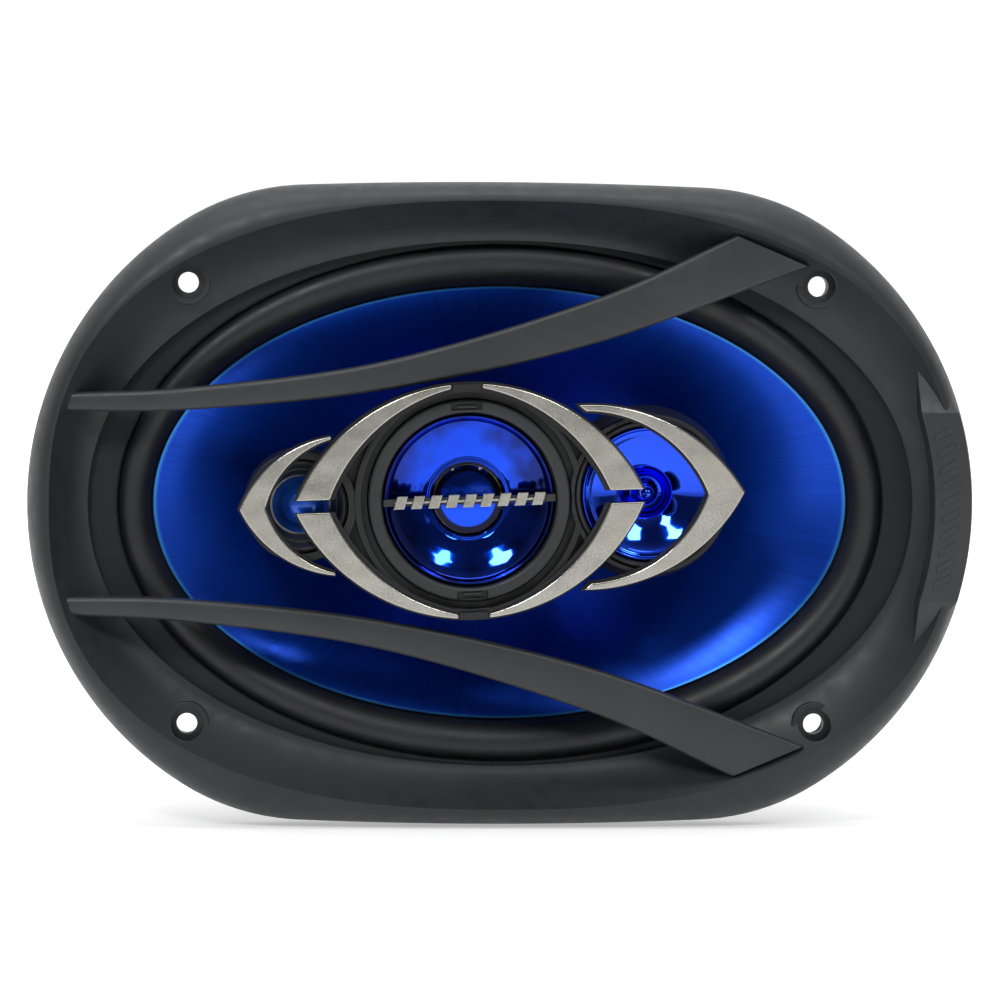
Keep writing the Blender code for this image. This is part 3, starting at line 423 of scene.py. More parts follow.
def film_wrap(name, color):
    look = Look(name, color, 0.3, Coat_Weight=0.4, Coat_Roughness=0.15)
    wrinkle = look.noise(160, 4, look.vector("MULTIPLY", look.place, (1.0, 3.0, 1.0)))
    darker = tuple(channel * 0.7 for channel in color)
    look.color(look.mix(look.between(wrinkle, 0, 1), darker, color))
    look.roughness(look.spread(300, 2, 0.24, 0.4))
    return look.bump((wrinkle, 0.15, 0.3), (look.noise(1800, 2), 0.05, 0.04)).material


def plain_studio(name, color, roughness, glow):
    """A white sweep lit from below under and behind the object, and less so in front of it."""
    look = Look(name, color, roughness, Specular_IOR_Level=0.1, Emission_Color=(1.0, 1.0, 1.0, 1.0))
    depth = look.node("ShaderNodeSeparateXYZ", Vector=look.place).outputs[1]
    look.feed(look.shader.inputs["Emission Strength"], look.between(depth, 0.12, glow, -0.35, 0.45))
    return look.roughness(look.spread(4, 2, roughness - 0.03, roughness + 0.03)).material


class Surfaces:
    """Every material of the object, made once."""

    def __init__(self):
        self.grille = plastic("grille_plastic", (0.0125, 0.0137, 0.0152), 0.46, 0.3)
        self.bar = plastic("bar_plastic", (0.0225, 0.0242, 0.0268), 0.42, 0.25)
        self.pod = plastic("pod_plastic", (0.009, 0.0094, 0.0104), 0.42, 0.2)
        self.ring = plastic("ring_plastic", (0.021, 0.0222, 0.0232), 0.44, 0.2)
        self.rubber = rubber()
        self.gasket = fibre("gasket_board", (0.013, 0.014, 0.017), (0.018, 0.0195, 0.023))
        self.board = fibre("terminal_fibre", (0.10, 0.05, 0.025), (0.17, 0.09, 0.045), 600)
        self.cone = cone_film()
        self.mirror = blue_mirror("blue_mirror")
        self.mirror_cap = blue_mirror("blue_mirror_cap", 0.0, 0.25, (7.1, 7.5))
        self.dome = dome_film()
        # The last pair is the oval outside which painted shade darkens the dish, standing in for darker
        # reflections.
        self.mirror_dish = blue_mirror("blue_mirror_dish", 0.0, 0.0, (9.9, 9.7), (14.0, 20.0))
        self.trim = trim_metal()
        self.basket = powder_coat()
        self.plate = brushed("zinc_plate", (0.62, 0.61, 0.57))
        self.tin = brushed("tin_plate", (0.72, 0.7, 0.66), 0.28, turned_marks=False)
        self.ferrite = ferrite()
        self.spider = spider_weave()
        self.winding = wound("copper_winding", (0.7, 0.27, 0.1), 0.35)
        self.former = film_wrap("former_film", (0.5, 0.24, 0.04))
        self.capacitor = film_wrap("capacitor_film", (0.55, 0.42, 0.08))
        self.tinsel = wound("tinsel_braid", (0.62, 0.36, 0.17), 0.9)
        self.sleeve = plastic("lead_sleeve", (0.014, 0.014, 0.015), 0.45, 0.15)
        self.glue = film_wrap("amber_glue", (0.16, 0.10, 0.04))


# ---------------------------------------------------------------- plane curves


def superellipse(half_width, half_height, power=2.0):
    def radius(angle):
        across = abs(math.cos(angle) / half_width) ** power
        up = abs(math.sin(angle) / half_height) ** power
        return (across + up) ** (-1 / power)

    return radius


def three_arc_oval(half_width, half_height, flank_radius, corner_radius, end_radius):
    """Distance from the centre to an oval whose flanks, corners and ends are arcs that meet smoothly."""
    flank = Vector((0.0, half_height - flank_radius))
    end = Vector((half_width - end_radius, 0.0))
    line = end - flank
    to_flank = flank_radius - corner_radius
    to_end = end_radius - corner_radius
    along = (to_flank**2 - to_end**2 + line.length_squared) / (2 * line.length)
    direction = line.normalized()
    across = math.sqrt(to_flank**2 - along**2)
    corner = flank + direction * along + Vector((direction.y, -direction.x)) * across
    flank_meets = flank + (corner - flank).normalized() * flank_radius
    end_meets = end + (corner - end).normalized() * end_radius

    def radius(angle):
        ray = Vector((abs(math.cos(angle)), abs(math.sin(angle))))
        slope = math.atan2(ray.y, ray.x)
        if slope > math.atan2(flank_meets.y, flank_meets.x):
            centre, size = flank, flank_radius
        elif slope < math.atan2(end_meets.y, end_meets.x):
            centre, size = end, end_radius
        else:
            centre, size = corner, corner_radius
        reach = ray.dot(centre)
        return reach + math.sqrt(reach**2 - centre.length_squared + size**2)

    return radius


def mixed(first, second, share):
    return lambda angle: first(angle) + (second(angle) - first(angle)) * share


def inside_by(curve, inset):
    return lambda angle: curve(angle) - inset


def circle(radius):
    return lambda angle: radius


def column_angles(count):
    """Angles of the columns round an oval, evenly spread along it."""
    turns = [math.tau * step / count for step in range(count)]
    return [math.atan2(OVAL_FLATNESS * math.sin(turn), math.cos(turn)) for turn in turns]


def smooth_through(points, count):
    """count points on a Catmull-Rom curve through the given points."""
    knots = [Vector(point) for point in points]
    knots = [2 * knots[0] - knots[1], *knots, 2 * knots[-1] - knots[-2]]
    result = []
    for step in range(count):
        place = step / (count - 1) * (len(points) - 1)
        first = min(int(place), len(points) - 2)
        share = place - first
        before, here, after, beyond = knots[first : first + 4]
        slope = (after - before) * share
        curve = (2 * before - 5 * here + 4 * after - beyond) * share**2
        bend = (3 * here - before - 3 * after + beyond) * share**3
        result.append((2 * here + slope + curve + bend) / 2)
    return result


def arc(start, end, radius, count):
    """Points on the arc from start to end whose centre is on the side of smaller z."""
    first, last = Vector(start), Vector(end)
    half = (last - first) / 2
    down = Vector((half.y, -half.x)).normalized()
    if down.y > 0:
        down = -down
    centre = first + half + down * math.sqrt(radius**2 - half.length_squared)
    begin = math.atan2(first.y - centre.y, first.x - centre.x)
    stop = math.atan2(last.y - centre.y, last.x - centre.x)
    angles = [begin + (stop - begin) * step / (count - 1) for step in range(count)]
    return [(centre.x + radius * math.cos(turn), centre.y + radius * math.sin(turn)) for turn in angles]


def mirrored(points, flip_x=1, flip_z=1):
    return [(x * flip_x, z * flip_z) for x, z in points]


def rounded(profile, radius, steps=4, closed=True):
    """The profile with each corner replaced by a small curve; radius is cut down where an edge is short."""
    result = []
    count = len(profile)
    for number, point in enumerate(profile):
        here = Vector(point)
        if not closed and number in (0, count - 1):
            result.append(tuple(here))
            continue
        before = Vector(profile[number - 1]) - here
        after = Vector(profile[(number + 1) % count]) - here
        cut = min(radius, before.length * 0.45, after.length * 0.45)
        start = here + before.normalized() * cut
        stop = here + after.normalized() * cut
        for step in range(steps + 1):
            share = step / steps
            result.append(tuple(start * (1 - share) ** 2 + here * 2 * share * (1 - share) + stop * share**2))
    return result


# ---------------------------------------------------------------- mesh helpers


def finish(name, data, surface, body="chassis", instead_of=(), sharp_deg=SHARP_DEG, turn=None):
    """Make a piece of a bmesh whose points are in millimetres, and set it on its CAD body."""
    if turn:
        bmesh.ops.transform(data, matrix=turn, verts=data.verts)
    bmesh.ops.scale(data, vec=(UNIT, UNIT, UNIT), verts=data.verts)
    bmesh.ops.recalc_face_normals(data, faces=data.faces)
    mesh = bpy.data.meshes.new(name)
    data.to_mesh(mesh)
    data.free()
    mesh.materials.append(surface)
    mesh.shade_smooth()
    mesh.set_sharp_from_angle(angle=math.radians(sharp_deg))
    made = bpy.data.objects.new(name, mesh)
    bpy.context.scene.collection.objects.link(made)
    if body:
        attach(made, body)
    if instead_of:
        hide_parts(*instead_of)
    return made


def skin(data, first, second):
    for here in range(len(first)):
        after = (here + 1) % len(first)
        data.faces.new((first[here], first[after], second[after], second[here]))


def loft(stations, angles):
    """A ring-shaped solid as a bmesh; each station is (curve, y) or (curve, y as a function of the angle)."""
    data = bmesh.new()
    rows = []
    for curve, height in stations:
        row = []
        for angle in angles:
            radius = curve(angle)
            y = height(angle) if callable(height) else height
            row.append(data.verts.new((radius * math.cos(angle), y, radius * math.sin(angle))))
        rows.append(row)
    for row, following in zip(rows, rows[1:] + rows[:1]):
        skin(data, row, following)
    return data


def spun(profile, centre=(0.0, 0.0), steps=96):
    """A profile of (radius, y) points spun round the Y axis through centre, as a bmesh."""
    data = bmesh.new()
    points = [data.verts.new((radius, y, 0.0)) for radius, y in profile]
    edges = [data.edges.new(pair) for pair in zip(points, points[1:])]
    if profile[0][0] > 1e-6:
        edges.append(data.edges.new((points[-1], points[0])))
    bmesh.ops.spin(data, geom=points + edges, cent=(0, 0, 0), axis=(0, 1, 0), angle=math.tau, steps=steps)
    bmesh.ops.remove_doubles(data, verts=data.verts, dist=1e-4)
    bmesh.ops.translate(data, vec=(centre[0], 0, centre[1]), verts=data.verts)
    return data


def sections_solid(sections, data=None):
    """A solid from a row of closed sections, with both ends capped, as a bmesh or added to one."""
    if data is None:
        data = bmesh.new()
    rows = [[data.verts.new(point) for point in section] for section in sections]
    for row, following in zip(rows, rows[1:]):
        skin(data, row, following)
    data.faces.new(rows[0])
    data.faces.new(rows[-1])
    return data


def slab(outline, ys):
    """An outline of (x, z) points extruded along Y, as a bmesh."""
    return sections_solid([[(x, y, z) for x, z in outline] for y in ys])


def upright_slab(outline, zs):
    """An outline of (x, y) points extruded along Z, as a bmesh."""
    return sections_solid([[(x, y, z) for x, y in outline] for z in zs])


def ring(radii, ys, edge=0.3):
    """Profile of a ring with softened edges."""
    corners = [(radii[0], ys[0]), (radii[1], ys[0]), (radii[1], ys[1]), (radii[0], ys[1])]
    return rounded(corners, edge)


def disc(radius, ys):
    return [(0.0, ys[0]), (radius, ys[0]), (radius, ys[1]), (0.0, ys[1])]


def join(target, shapes, operation, turn=None):
    """Apply a Boolean of target with bmesh solids, which are turned first and dropped afterwards."""
    group = bpy.data.collections.new(f"{target.name}_{operation.lower()}")
    bpy.context.scene.collection.children.link(group)
    for shape in shapes:
        helper = finish("helper", shape, target.data.materials[0], body=None, turn=turn)
        bpy.context.scene.collection.objects.unlink(helper)
        group.objects.link(helper)
    modifier = target.modifiers.new(operation.title(), "BOOLEAN")
    modifier.operation = operation
    modifier.operand_type = "COLLECTION"
    modifier.collection = group
    modifier.solver = "EXACT"
    bpy.context.view_layer.update()
    graph = bpy.context.evaluated_depsgraph_get()
    mesh = bpy.data.meshes.new_from_object(target.evaluated_get(graph))
    target.modifiers.clear()
    target.data = mesh
    for helper in list(group.objects):
        bpy.data.objects.remove(helper, do_unlink=True)
    bpy.data.collections.remove(group)
    mesh.set_sharp_from_angle(angle=math.radians(SHARP_DEG))


def soften(target, width, segments=3, angle_deg=35):
    """Small rounded edges, so that they catch the light as moulded ones do."""
    bevel = target.modifiers.new("Bevel", "BEVEL")
    bevel.width = width * UNIT
    bevel.segments = segments
    bevel.limit_method = "ANGLE"
    bevel.angle_limit = math.radians(angle_deg)
    bevel.harden_normals = True
    bevel.miter_outer = "MITER_ARC"


def tube(name, route, diameter, surface, body, instead_of, sides=12):
    """A round lead through route's points, with closed ends."""
    points = smooth_through(route, 8 * (len(route) - 1) + 1)
    rows = []
    side = Vector((1.0, 0.0, 0.0))
    for number, point in enumerate(points):
        ahead = points[min(number + 1, len(points) - 1)] - points[max(number - 1, 0)]
        ahead.normalize()
        side = (side - ahead * side.dot(ahead)).normalized()
        up = ahead.cross(side)
        row = []
        for corner in range(sides):
            turn = math.tau * corner / sides
            row.append(point + (side * math.cos(turn) + up * math.sin(turn)) * diameter / 2)
        rows.append(row)
    return finish(name, sections_solid(rows), surface, body, instead_of)


# ---------------------------------------------------------------- grille


def screw_places():
    return [(x, z) for x in (-SCREW_X, SCREW_X) for z in (-SCREW_Z, SCREW_Z)]


def rim_outside():
    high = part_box("grille_frame")[1]
    return three_arc_oval(high.x / UNIT, high.z / UNIT, RIM_FLANK_RADIUS, RIM_CORNER_RADIUS, RIM_END_RADIUS)


def inner_wall_y(share):
    return LIP_Y + (CREST_Y - LIP_Y) * (1 - share) ** INNER_WALL_POWER


def grille_rim(surfaces):
    outside, crest, opening = rim_outside(), superellipse(*CREST), superellipse(*OPENING)
    stations = [(inside_by(outside, 0.5), 0.0), (outside, -0.5)]
    for step in range(15):
        turn = math.radians(90 - 6 * step)
        y = CREST_Y + SHOULDER_DROP * (1 - math.cos(turn))
        stations.append((mixed(crest, outside, math.sin(turn)), y))
    for step in range(15):
        share = (step / 14) ** 1.2
        stations.append((mixed(crest, opening, share), inner_wall_y(share)))
    stations += [(inside_by(opening, 0.25), LIP_Y + 0.35), (opening, LIP_REAR_Y)]
    for share in (0.72, 0.4, 0.15):
        stations.append((mixed(crest, opening, share), inner_wall_y(share) + RIM_WALL))
    inner_skirt = inside_by(outside, RIM_WALL)
    for degrees in (0, 30, 60, 90):
        turn = math.radians(degrees)
        y = CREST_Y + RIM_WALL + (SHOULDER_DROP - RIM_WALL) * (1 - math.cos(turn))
        stations.append((mixed(crest, inner_skirt, math.sin(turn)), y))
    stations.append((inner_skirt, 0.0))
    data = loft(stations, column_angles(240))
    rim = finish("grille_rim", data, surfaces.grille, instead_of=["grille_frame"])
    boss = rounded(disc(SCREW_BOSS_RADIUS, (-11.0, -1.5)), 0.5, closed=False)
    bore = [(0.0, 2.0), (SCREW_SEAT_RADIUS, 2.0), (SCREW_SEAT_RADIUS, -6.5), (SCREW_HOLE_RADIUS, -6.5)]
    bore += [(SCREW_HOLE_RADIUS, SCREW_SEAT_Y), (SCREW_SEAT_RADIUS, SCREW_SEAT_Y)]
    bore += [(SCREW_SEAT_RADIUS, -30.0), (0.0, -30.0)]
    join(rim, [spun(boss, place, 48) for place in screw_places()], "UNION")
    join(rim, [spun(bore, place, 48) for place in screw_places()], "DIFFERENCE")


def bar_sections(flip):
    """Sections of the upper bar, or of the lower one with flip -1: rounded front edges and a low crown."""
    count = 61
    inner, outer = smooth_through(BAR_INNER_EDGE, count), smooth_through(BAR_OUTER_EDGE, count)
    sections = []
    for step, (low, high) in enumerate(zip(inner, outer)):
        along = step / (count - 1)
        front = BAR_LEFT_Y + (BAR_RIGHT_Y - BAR_LEFT_Y) * along - BAR_BOW * 4 * along * (1 - along)
        width = (high - low).length
        profile = [(0.0, BAR_DEPTH), (0.0, 0.0), (width, 0.0), (width, BAR_DEPTH)]
        corners = rounded(profile, BAR_EDGE_RADIUS, 5)
        section = []
        for across, depth in corners:
            place = low + (high - low) * (across / width)
            crown = 0.35 * (1 - (2 * across / width - 1) ** 2) * (1 - depth / BAR_DEPTH)
            section.append((place.x, front + depth - crown + 0.35, place.y * flip))
        sections.append(section)
    return sections


def grille_bars(surfaces):
    for name, flip in (("grille_bar_upper", 1), ("grille_bar_lower", -1)):
        finish(name, sections_solid(bar_sections(flip)), surfaces.bar)


def grille_pad(surfaces):
    """Raised pad on the rim's right end, pointed at both ends, with plain slanted ribs on its face."""
    outside = rim_outside()

    def edges(z):
        inner_x = PAD_INNER_X - PAD_INNER_SAG * (z / PAD_FLAT_HALF) ** 2
        outer_x = outside(math.atan2(z, RIM_HALF_WIDTH)) - PAD_OUTER_INSET
        return inner_x, math.sqrt(outer_x**2 - z**2)

    rear, outer_edge = -9.0, 4.0
    sections = []
    for step in range(-8, 9):
        z = PAD_FLAT_HALF * step / 8
        inner_x, outer_x = edges(z)
        section = [(inner_x, rear, z), (inner_x, PAD_INNER_Y, z), (outer_x, PAD_OUTER_Y, z)]
        sections.append(section + [(outer_x, PAD_OUTER_Y + outer_edge, z), (outer_x - 4.0, rear + 1.0, z)])
    inner_x = PAD_INNER_X - PAD_INNER_SAG * 1.2
    for z in (-PAD_HALF, PAD_HALF):
        tip = [(inner_x, rear, z), (inner_x, PAD_TIP_Y, z), (inner_x + 1.4, PAD_TIP_Y, z)]
        tip += [(inner_x + 1.4, PAD_TIP_Y + outer_edge, z), (inner_x + 1.4, rear, z)]
        sections.insert(0 if z < 0 else len(sections), tip)
    pad = finish("grille_pad", sections_solid(sections), surfaces.bar, sharp_deg=12)
    soften(pad, 0.3, 3, 12)
    ribs = bmesh.new()
    count, pitch, half_width, slant = 10, 4.3, 0.8, 1.2
    for number in range(count):
        z = (number - (count - 1) / 2) * pitch
        inner_x, outer_x = edges(z)
        corners = []
        for share, lean in ((0.2, -slant), (0.66, slant)):
            x = inner_x + (outer_x - inner_x) * share
            y = PAD_INNER_Y + (PAD_OUTER_Y - PAD_INNER_Y) * share
            corners += [(x, y, z + lean - half_width), (x, y, z + lean + half_width)]
        corners = [corners[0], corners[1], corners[3], corners[2]]
        sections_solid([[(x, y + lift, along) for x, y, along in corners] for lift in (0.3, -0.3)], ribs)
    made = finish("grille_pad_ribs", ribs, surfaces.bar)
    soften(made, 0.12, 2)


# ---------------------------------------------------------------- basket


def basket(surfaces):
    """Pressed chassis: a bead runs down each leg, and rounded windows lie between the legs."""
    edge = inside_by(rim_outside(), FLANGE_INSET)

    def bead(angle, share):
        """How far a leg's middle is pressed outwards."""
        turn = math.atan2(math.sin(angle) / OVAL_FLATNESS, math.cos(angle))
        from_leg = (turn * LEGS / math.tau + 0.5) % 1 - 0.5
        return 1.5 * math.exp(-((from_leg / 0.075) ** 2)) * math.sin(math.pi * share) ** 0.5

    def wall(ovals, share):
        base = mixed(superellipse(*ovals[0]), superellipse(*ovals[1]), share)
        return lambda angle: base(angle) + bead(angle, share)

    front = [(edge, -1.0), (inside_by(edge, 0.3), -1.2), (superellipse(102.0, 70.0), -1.2)]
    front += [(superellipse(100.4, 68.4), -0.9), (superellipse(99.5, 67.5), 0.6)]
    front += [(wall(WALL_FRONT, step / 8), WALL_START_Y + WALL_DEPTH * step / 8) for step in range(9)]
    front.append((superellipse(51.5, 51.0), 42.2))
    landing = ((50.0, 43.0), (43.2, 43.0), (42.4, 43.8), (40.8, 47.9), (40.0, 48.6), (21.6, 48.6))
    front += [(circle(radius), y) for radius, y in landing]
    rear = [(edge, -0.2), (inside_by(edge, 0.3), 0.0), (superellipse(103.2, 71.2), 0.0)]
    rear += [(superellipse(101.6, 69.6), 0.3), (superellipse(100.8, 68.8), 1.8)]
    rear += [(wall(WALL_REAR, step / 8), 6.5 + 29.5 * step / 8) for step in range(9)]
    rear.append((superellipse(52.7, 52.2), 43.6))
    landing = ((51.2, 44.4), (44.4, 44.4), (43.7, 45.2), (42.1, 49.4), (41.3, 50.0), (21.6, 50.0))
    rear += [(circle(radius), y) for radius, y in landing]
    data = loft(front + rear[::-1], column_angles(176))
    made = finish("basket_pressing", data, surfaces.basket, instead_of=["basket"])
    cuts = []
    for window in range(LEGS):
        middle = (window + 0.5) * math.tau / LEGS
        half = math.tau / LEGS / 2 - math.radians(8.5)
        outline = []
        near, far = WINDOW_YS[0] + WINDOW_CORNER, WINDOW_YS[1] - WINDOW_CORNER
        for corner, (side, y) in enumerate(((-1, near), (1, near), (1, far), (-1, far))):
            for step in range(7):
                angle = math.radians(180 + 90 * corner + 15 * step)
                across = side * (half - 0.06) + 0.06 * math.cos(angle)
                outline.append((across, y + WINDOW_CORNER * math.sin(angle)))
        rows = []
        for radius_share in (0.6, 1.25):
            row = []
            for across, depth in outline:
                turn = middle + across
                angle = math.atan2(OVAL_FLATNESS * math.sin(turn), math.cos(turn))
                radius = wall(WALL_FRONT, (depth - WALL_START_Y) / WALL_DEPTH)(angle) * radius_share
                row.append((radius * math.cos(angle), depth, radius * math.sin(angle)))
            rows.append(row)
        cuts.append(sections_solid(rows))
    cuts += [spun(disc(FLANGE_HOLE_RADIUS, (-4.0, 3.0)), place, 40) for place in screw_places()]
    join(made, cuts, "DIFFERENCE")


# ---------------------------------------------------------------- woofer


def gasket(surfaces):
    inner, outer = superellipse(*GASKET_INNER), superellipse(*GASKET_OUTER)
    stations = [(inner, -2.3), (outer, -2.3), (outer, -4.9), (inside_by(outer, 0.4), -5.3)]
    stations += [(inside_by(inner, -0.4), -5.3), (inner, -4.9)]
    data = loft(stations, column_angles(240))
    finish("gasket_ring", data, surfaces.gasket, instead_of=["surround_gasket"])


def follow_radially(made, inner_curve, outer_curve):
    """Bake an annular piece's placement into its mesh and look up, for each point, the two curves it lies
    between; no point is moved.
    """
    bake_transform(made)
    for vertex in made.data.vertices:
        angle = math.atan2(vertex.co.z, vertex.co.x)
        low, high = inner_curve(angle), outer_curve(angle)


def surround(surfaces):
    """Half roll with a small foot on each side."""
    edge = superellipse(*CONE_EDGE)
    landing, inner = inside_by(edge, 1.5), inside_by(edge, -0.5)
    outer = superellipse(GASKET_INNER[0] - 0.3, GASKET_INNER[1] - 0.3)
    flange = superellipse(GASKET_OUTER[0] - 1.0, GASKET_OUTER[1] - 1.0)
    front, rear = [(landing, 1.1)], [(landing, 1.6)]
    steps = 20
    for step in range(steps + 1):
        turn = math.pi * step / steps
        share = (1 - math.cos(turn)) / 2
        curve = mixed(inner, outer, share)
        foot = -0.1 - 1.9 * share
        lift = 5.0 * math.sin(turn)
        front.append((curve, foot - lift))
        rear.append((curve, foot + 0.5 - lift * 0.9))
    front.append((flange, -2.0))
    rear.append((flange, -1.5))
    data = loft(front + rear[::-1], column_angles(240))
    made = finish("surround_roll", data, surfaces.rubber, None, ["surround"], 50)
    follow_radially(made, inner, outer)


def cone(surfaces):
    edge, neck = superellipse(*CONE_EDGE), circle(CONE_NECK_RADIUS)
    front, rear = [], []
    steps = 30
    for step in range(steps + 1):
        share = step / steps
        curve = mixed(edge, neck, share)
        y = CONE_EDGE_Y + CONE_DEPTH * share**CONE_CURVE
        front.append((curve, y))
        rear.append((curve, y + 0.8))
    front[0] = (inside_by(edge, 0.25), front[0][1])
    front.insert(0, (edge, CONE_EDGE_Y + 0.25))
    data = loft(front + rear[::-1], column_angles(288))
    finish("cone_shell", data, surfaces.cone, "woofer", ["woofer_cone"])


def spider(surfaces):
    inner, landing, outer = 19.5, 43.2, 49.3
    front = []
    steps = 60
    for step in range(steps + 1):
        share = step / steps
        radius = inner + (landing - inner) * share
        front.append((radius, 41.15 - 0.55 * math.cos(share * math.tau * 4)))
    front[-1] = (landing, 42.0)
    front.append((outer, 42.2))
    rear = [(radius, y + 0.45) for radius, y in reversed(front)]
    data = spun(front + rear, steps=128)
    made = finish("spider_disc", data, surfaces.spider, None, ["spider"], 60)
    follow_radially(made, circle(inner), circle(landing))


def woofer(surfaces):
    gasket(surfaces)
    surround(surfaces)
    cone(surfaces)
    spider(surfaces)
    former = spun(ring((18.6, 19.2), (33.5, 58.3), 0.1))
    finish("former_tube", former, surfaces.former, "woofer", ["voice_coil_former"])
    coil = spun(ring((19.5, 20.3), (48.3, 58.3), 0.2))
    finish("coil_winding", coil, surfaces.winding, "woofer", ["voice_coil"])


def motor(surfaces):
    """Magnet between two turned plates, the pole with the pod's stem through it, and the nut on the stem."""
    top = spun(ring((21.0, 44.0), (50.3, 56.3), 0.7))
    finish("motor_top_plate", top, surfaces.plate, instead_of=["top_plate"])
    magnet = spun(ring((25.0, 46.0), (56.6, 72.6), 1.0), steps=128)
    finish("motor_magnet", magnet, surfaces.ferrite, instead_of=["magnet"])
    back = [(6.4, 50.3), (17.8, 50.3), (17.8, 72.9), (44.0, 72.9), (44.0, 78.9), (30.0, 78.9)]
    back += [(29.0, 78.3), (18.0, 78.3), (17.0, 78.9), (6.4, 78.9)]
    plate = spun(rounded(back, 0.8), steps=128)
    finish("motor_back_plate", plate, surfaces.plate, instead_of=["back_plate"])
    threads = [(4.0, 6.4), (6.0, 6.4), (6.0, 76.0)]
    for turn in range(14):
        threads += [(6.1, 76.3 + 0.5 * turn), (5.7, 76.55 + 0.5 * turn)]
    threads += [(5.9, 83.4), (4.0, 83.4)]
    finish("stem_tube", spun(threads, steps=48), surfaces.tin, instead_of=["pod_stem"])
    nut = [(6.4, 79.5), (6.8, 79.2), (9.4, 79.2), (10.3, 79.8), (10.3, 81.8), (9.4, 82.4)]
    nut = spun(nut + [(6.8, 82.4), (6.4, 82.1)], steps=72)
    hexagon = finish("stem_hex_nut", nut, surfaces.tin, instead_of=["stem_nut"])
    flats = []
    for side in range(6):
        block = slab([(-9, 9), (9, 9), (9, 15), (-9, 15)], (77.0, 85.0))
        bmesh.ops.transform(block, matrix=Matrix.Rotation(math.radians(60 * side), 4, "Y"), verts=block.verts)
        flats.append(block)
    join(hexagon, flats, "DIFFERENCE")


def terminals(surfaces):
    """Fibre board riveted to the upper leg, with a wide and a narrow spade tab, and the leads."""
    tilt = Matrix.Translation((0.0, 21.0, 63.4)) @ Matrix.Rotation(-math.atan2(12.4, 29.5), 4, "X")
    outline = rounded([(-15, -9), (15, -9), (15, 9), (-15, 9)], 2.0, 5)
    data = upright_slab(outline, (0.5, 2.1))
    replaced = ["terminal_board"]
    board = finish("terminal_plate", data, surfaces.board, "chassis", replaced, turn=tilt)
    soften(board, 0.25, 2)
    for name, x, half_width in (("terminal_positive", -8.5, 3.15), ("terminal_negative", 8.5, 2.4)):
        shape = [(x - half_width, -3.0), (x + half_width, -3.0), (x + half_width, 14.6)]
        shape += [(x + half_width - 1.1, 16.0), (x - half_width + 1.1, 16.0), (x - half_width, 14.6)]
        data = upright_slab(shape, (2.4, 3.2))
        tab = finish(f"{name}_tab", data, surfaces.tin, instead_of=[name], turn=tilt)
        hole = spun(disc(0.9, (-2.0, 6.0)), steps=24)
        upright = tilt @ Matrix.Translation((x, 12.4, 0.0)) @ Matrix.Rotation(math.radians(90), 4, "X")
        join(tab, [hole], "DIFFERENCE", upright)
        soften(tab, 0.12, 2)
        dome = [(0.0, 0.75), (0.9, 0.62), (1.6, 0.2), (1.7, 0.0), (0.0, 0.0)]
        for number, along in enumerate((-6.5, 4.0)):
            high = 2.12 if along < -4 else 3.22
            seat = tilt @ Matrix.Translation((x, along, high)) @ Matrix.Rotation(math.radians(90), 4, "X")
            rivet = spun(dome, steps=24)
            finish(f"{name}_rivet_{number + 1}", rivet, surfaces.tin, turn=seat)
    for name, side in (("tinsel_lead_positive", -1), ("tinsel_lead_negative", 1)):
        route = [(side * 15.6, 23.0, 64.6), (side * 18.6, 25.0, 61.5), (side * 18.5, 30.0, 52.0)]
        route += [(side * 14.5, 36.0, 42.0), (side * 9.0, 37.5, 34.0), (side * 7.0, 35.2, 28.6)]
        lead = tube(f"{name}_braid", route, 1.4, surfaces.tinsel, None, [name])
        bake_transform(lead)
    route = [(0.0, 33.4, 61.8), (0.0, 40.0, 60.0), (0.0, 48.0, 54.5), (0.0, 58.0, 50.5), (0.0, 72.0, 49.6)]
    route += [(0.0, 79.5, 46.5), (0.0, 81.4, 38.0), (0.0, 81.6, 24.0), (0.0, 83.0, 13.0), (0.0, 86.4, 5.6)]
    route += [(0.0, 84.4, 0.6), (0.0, 78.0, 0.0), (0.0, 60.0, 0.0)]
    tube("pod_lead_sleeve", route, 2.6, surfaces.sleeve, "chassis", ["pod_lead"])


def capacitors(surfaces):
    """Crossover capacitors behind the spider landing, with crimped ends."""
    for name, degrees, half, radius in (
        ("crossover_capacitor_mid", 130, 11.0, 5.0),
        ("crossover_capacitor_tweeter", 50, 8.0, 4.2),
    ):
        turn = math.radians(degrees)
        reach = 47.0 + radius
        centre = Vector((reach * math.cos(turn), 44.8 + radius, reach * math.sin(turn)))
        lying = Matrix.Rotation(-turn, 4, "Y") @ Matrix.Rotation(math.radians(90), 4, "X")
        body = [(0.0, 0.5 - half), (radius - 1.5, 0.5 - half), (radius - 1.2, -half), (radius - 0.5, -half)]
        body += [(radius, 0.6 - half), (radius, 2.6 - half), (radius - 0.45, 3.1 - half)]
        body += [(radius, 3.6 - half), (radius, half - 0.6), (radius - 0.5, half), (0.0, half)]
        data = spun(rounded(body, 0.25, 3, closed=False), steps=48)
        place = Matrix.Translation(centre) @ lying
        finish(f"{name}_can", data, surfaces.capacitor, instead_of=[name], turn=place)


# ---------------------------------------------------------------- pod


def pod_turn():
    return Matrix.Translation((POD_CENTRE[0], 0.0, POD_CENTRE[1])) @ Matrix.Rotation(
        -math.radians(POD_TURN_DEG), 4, "Y"
    )


def on_pod(name, data, surface, instead_of=(), body="chassis", sharp_deg=SHARP_DEG):
    """Make a piece of the pod, turned with it."""
    return finish(name, data, surface, body, instead_of, sharp_deg, pod_turn())


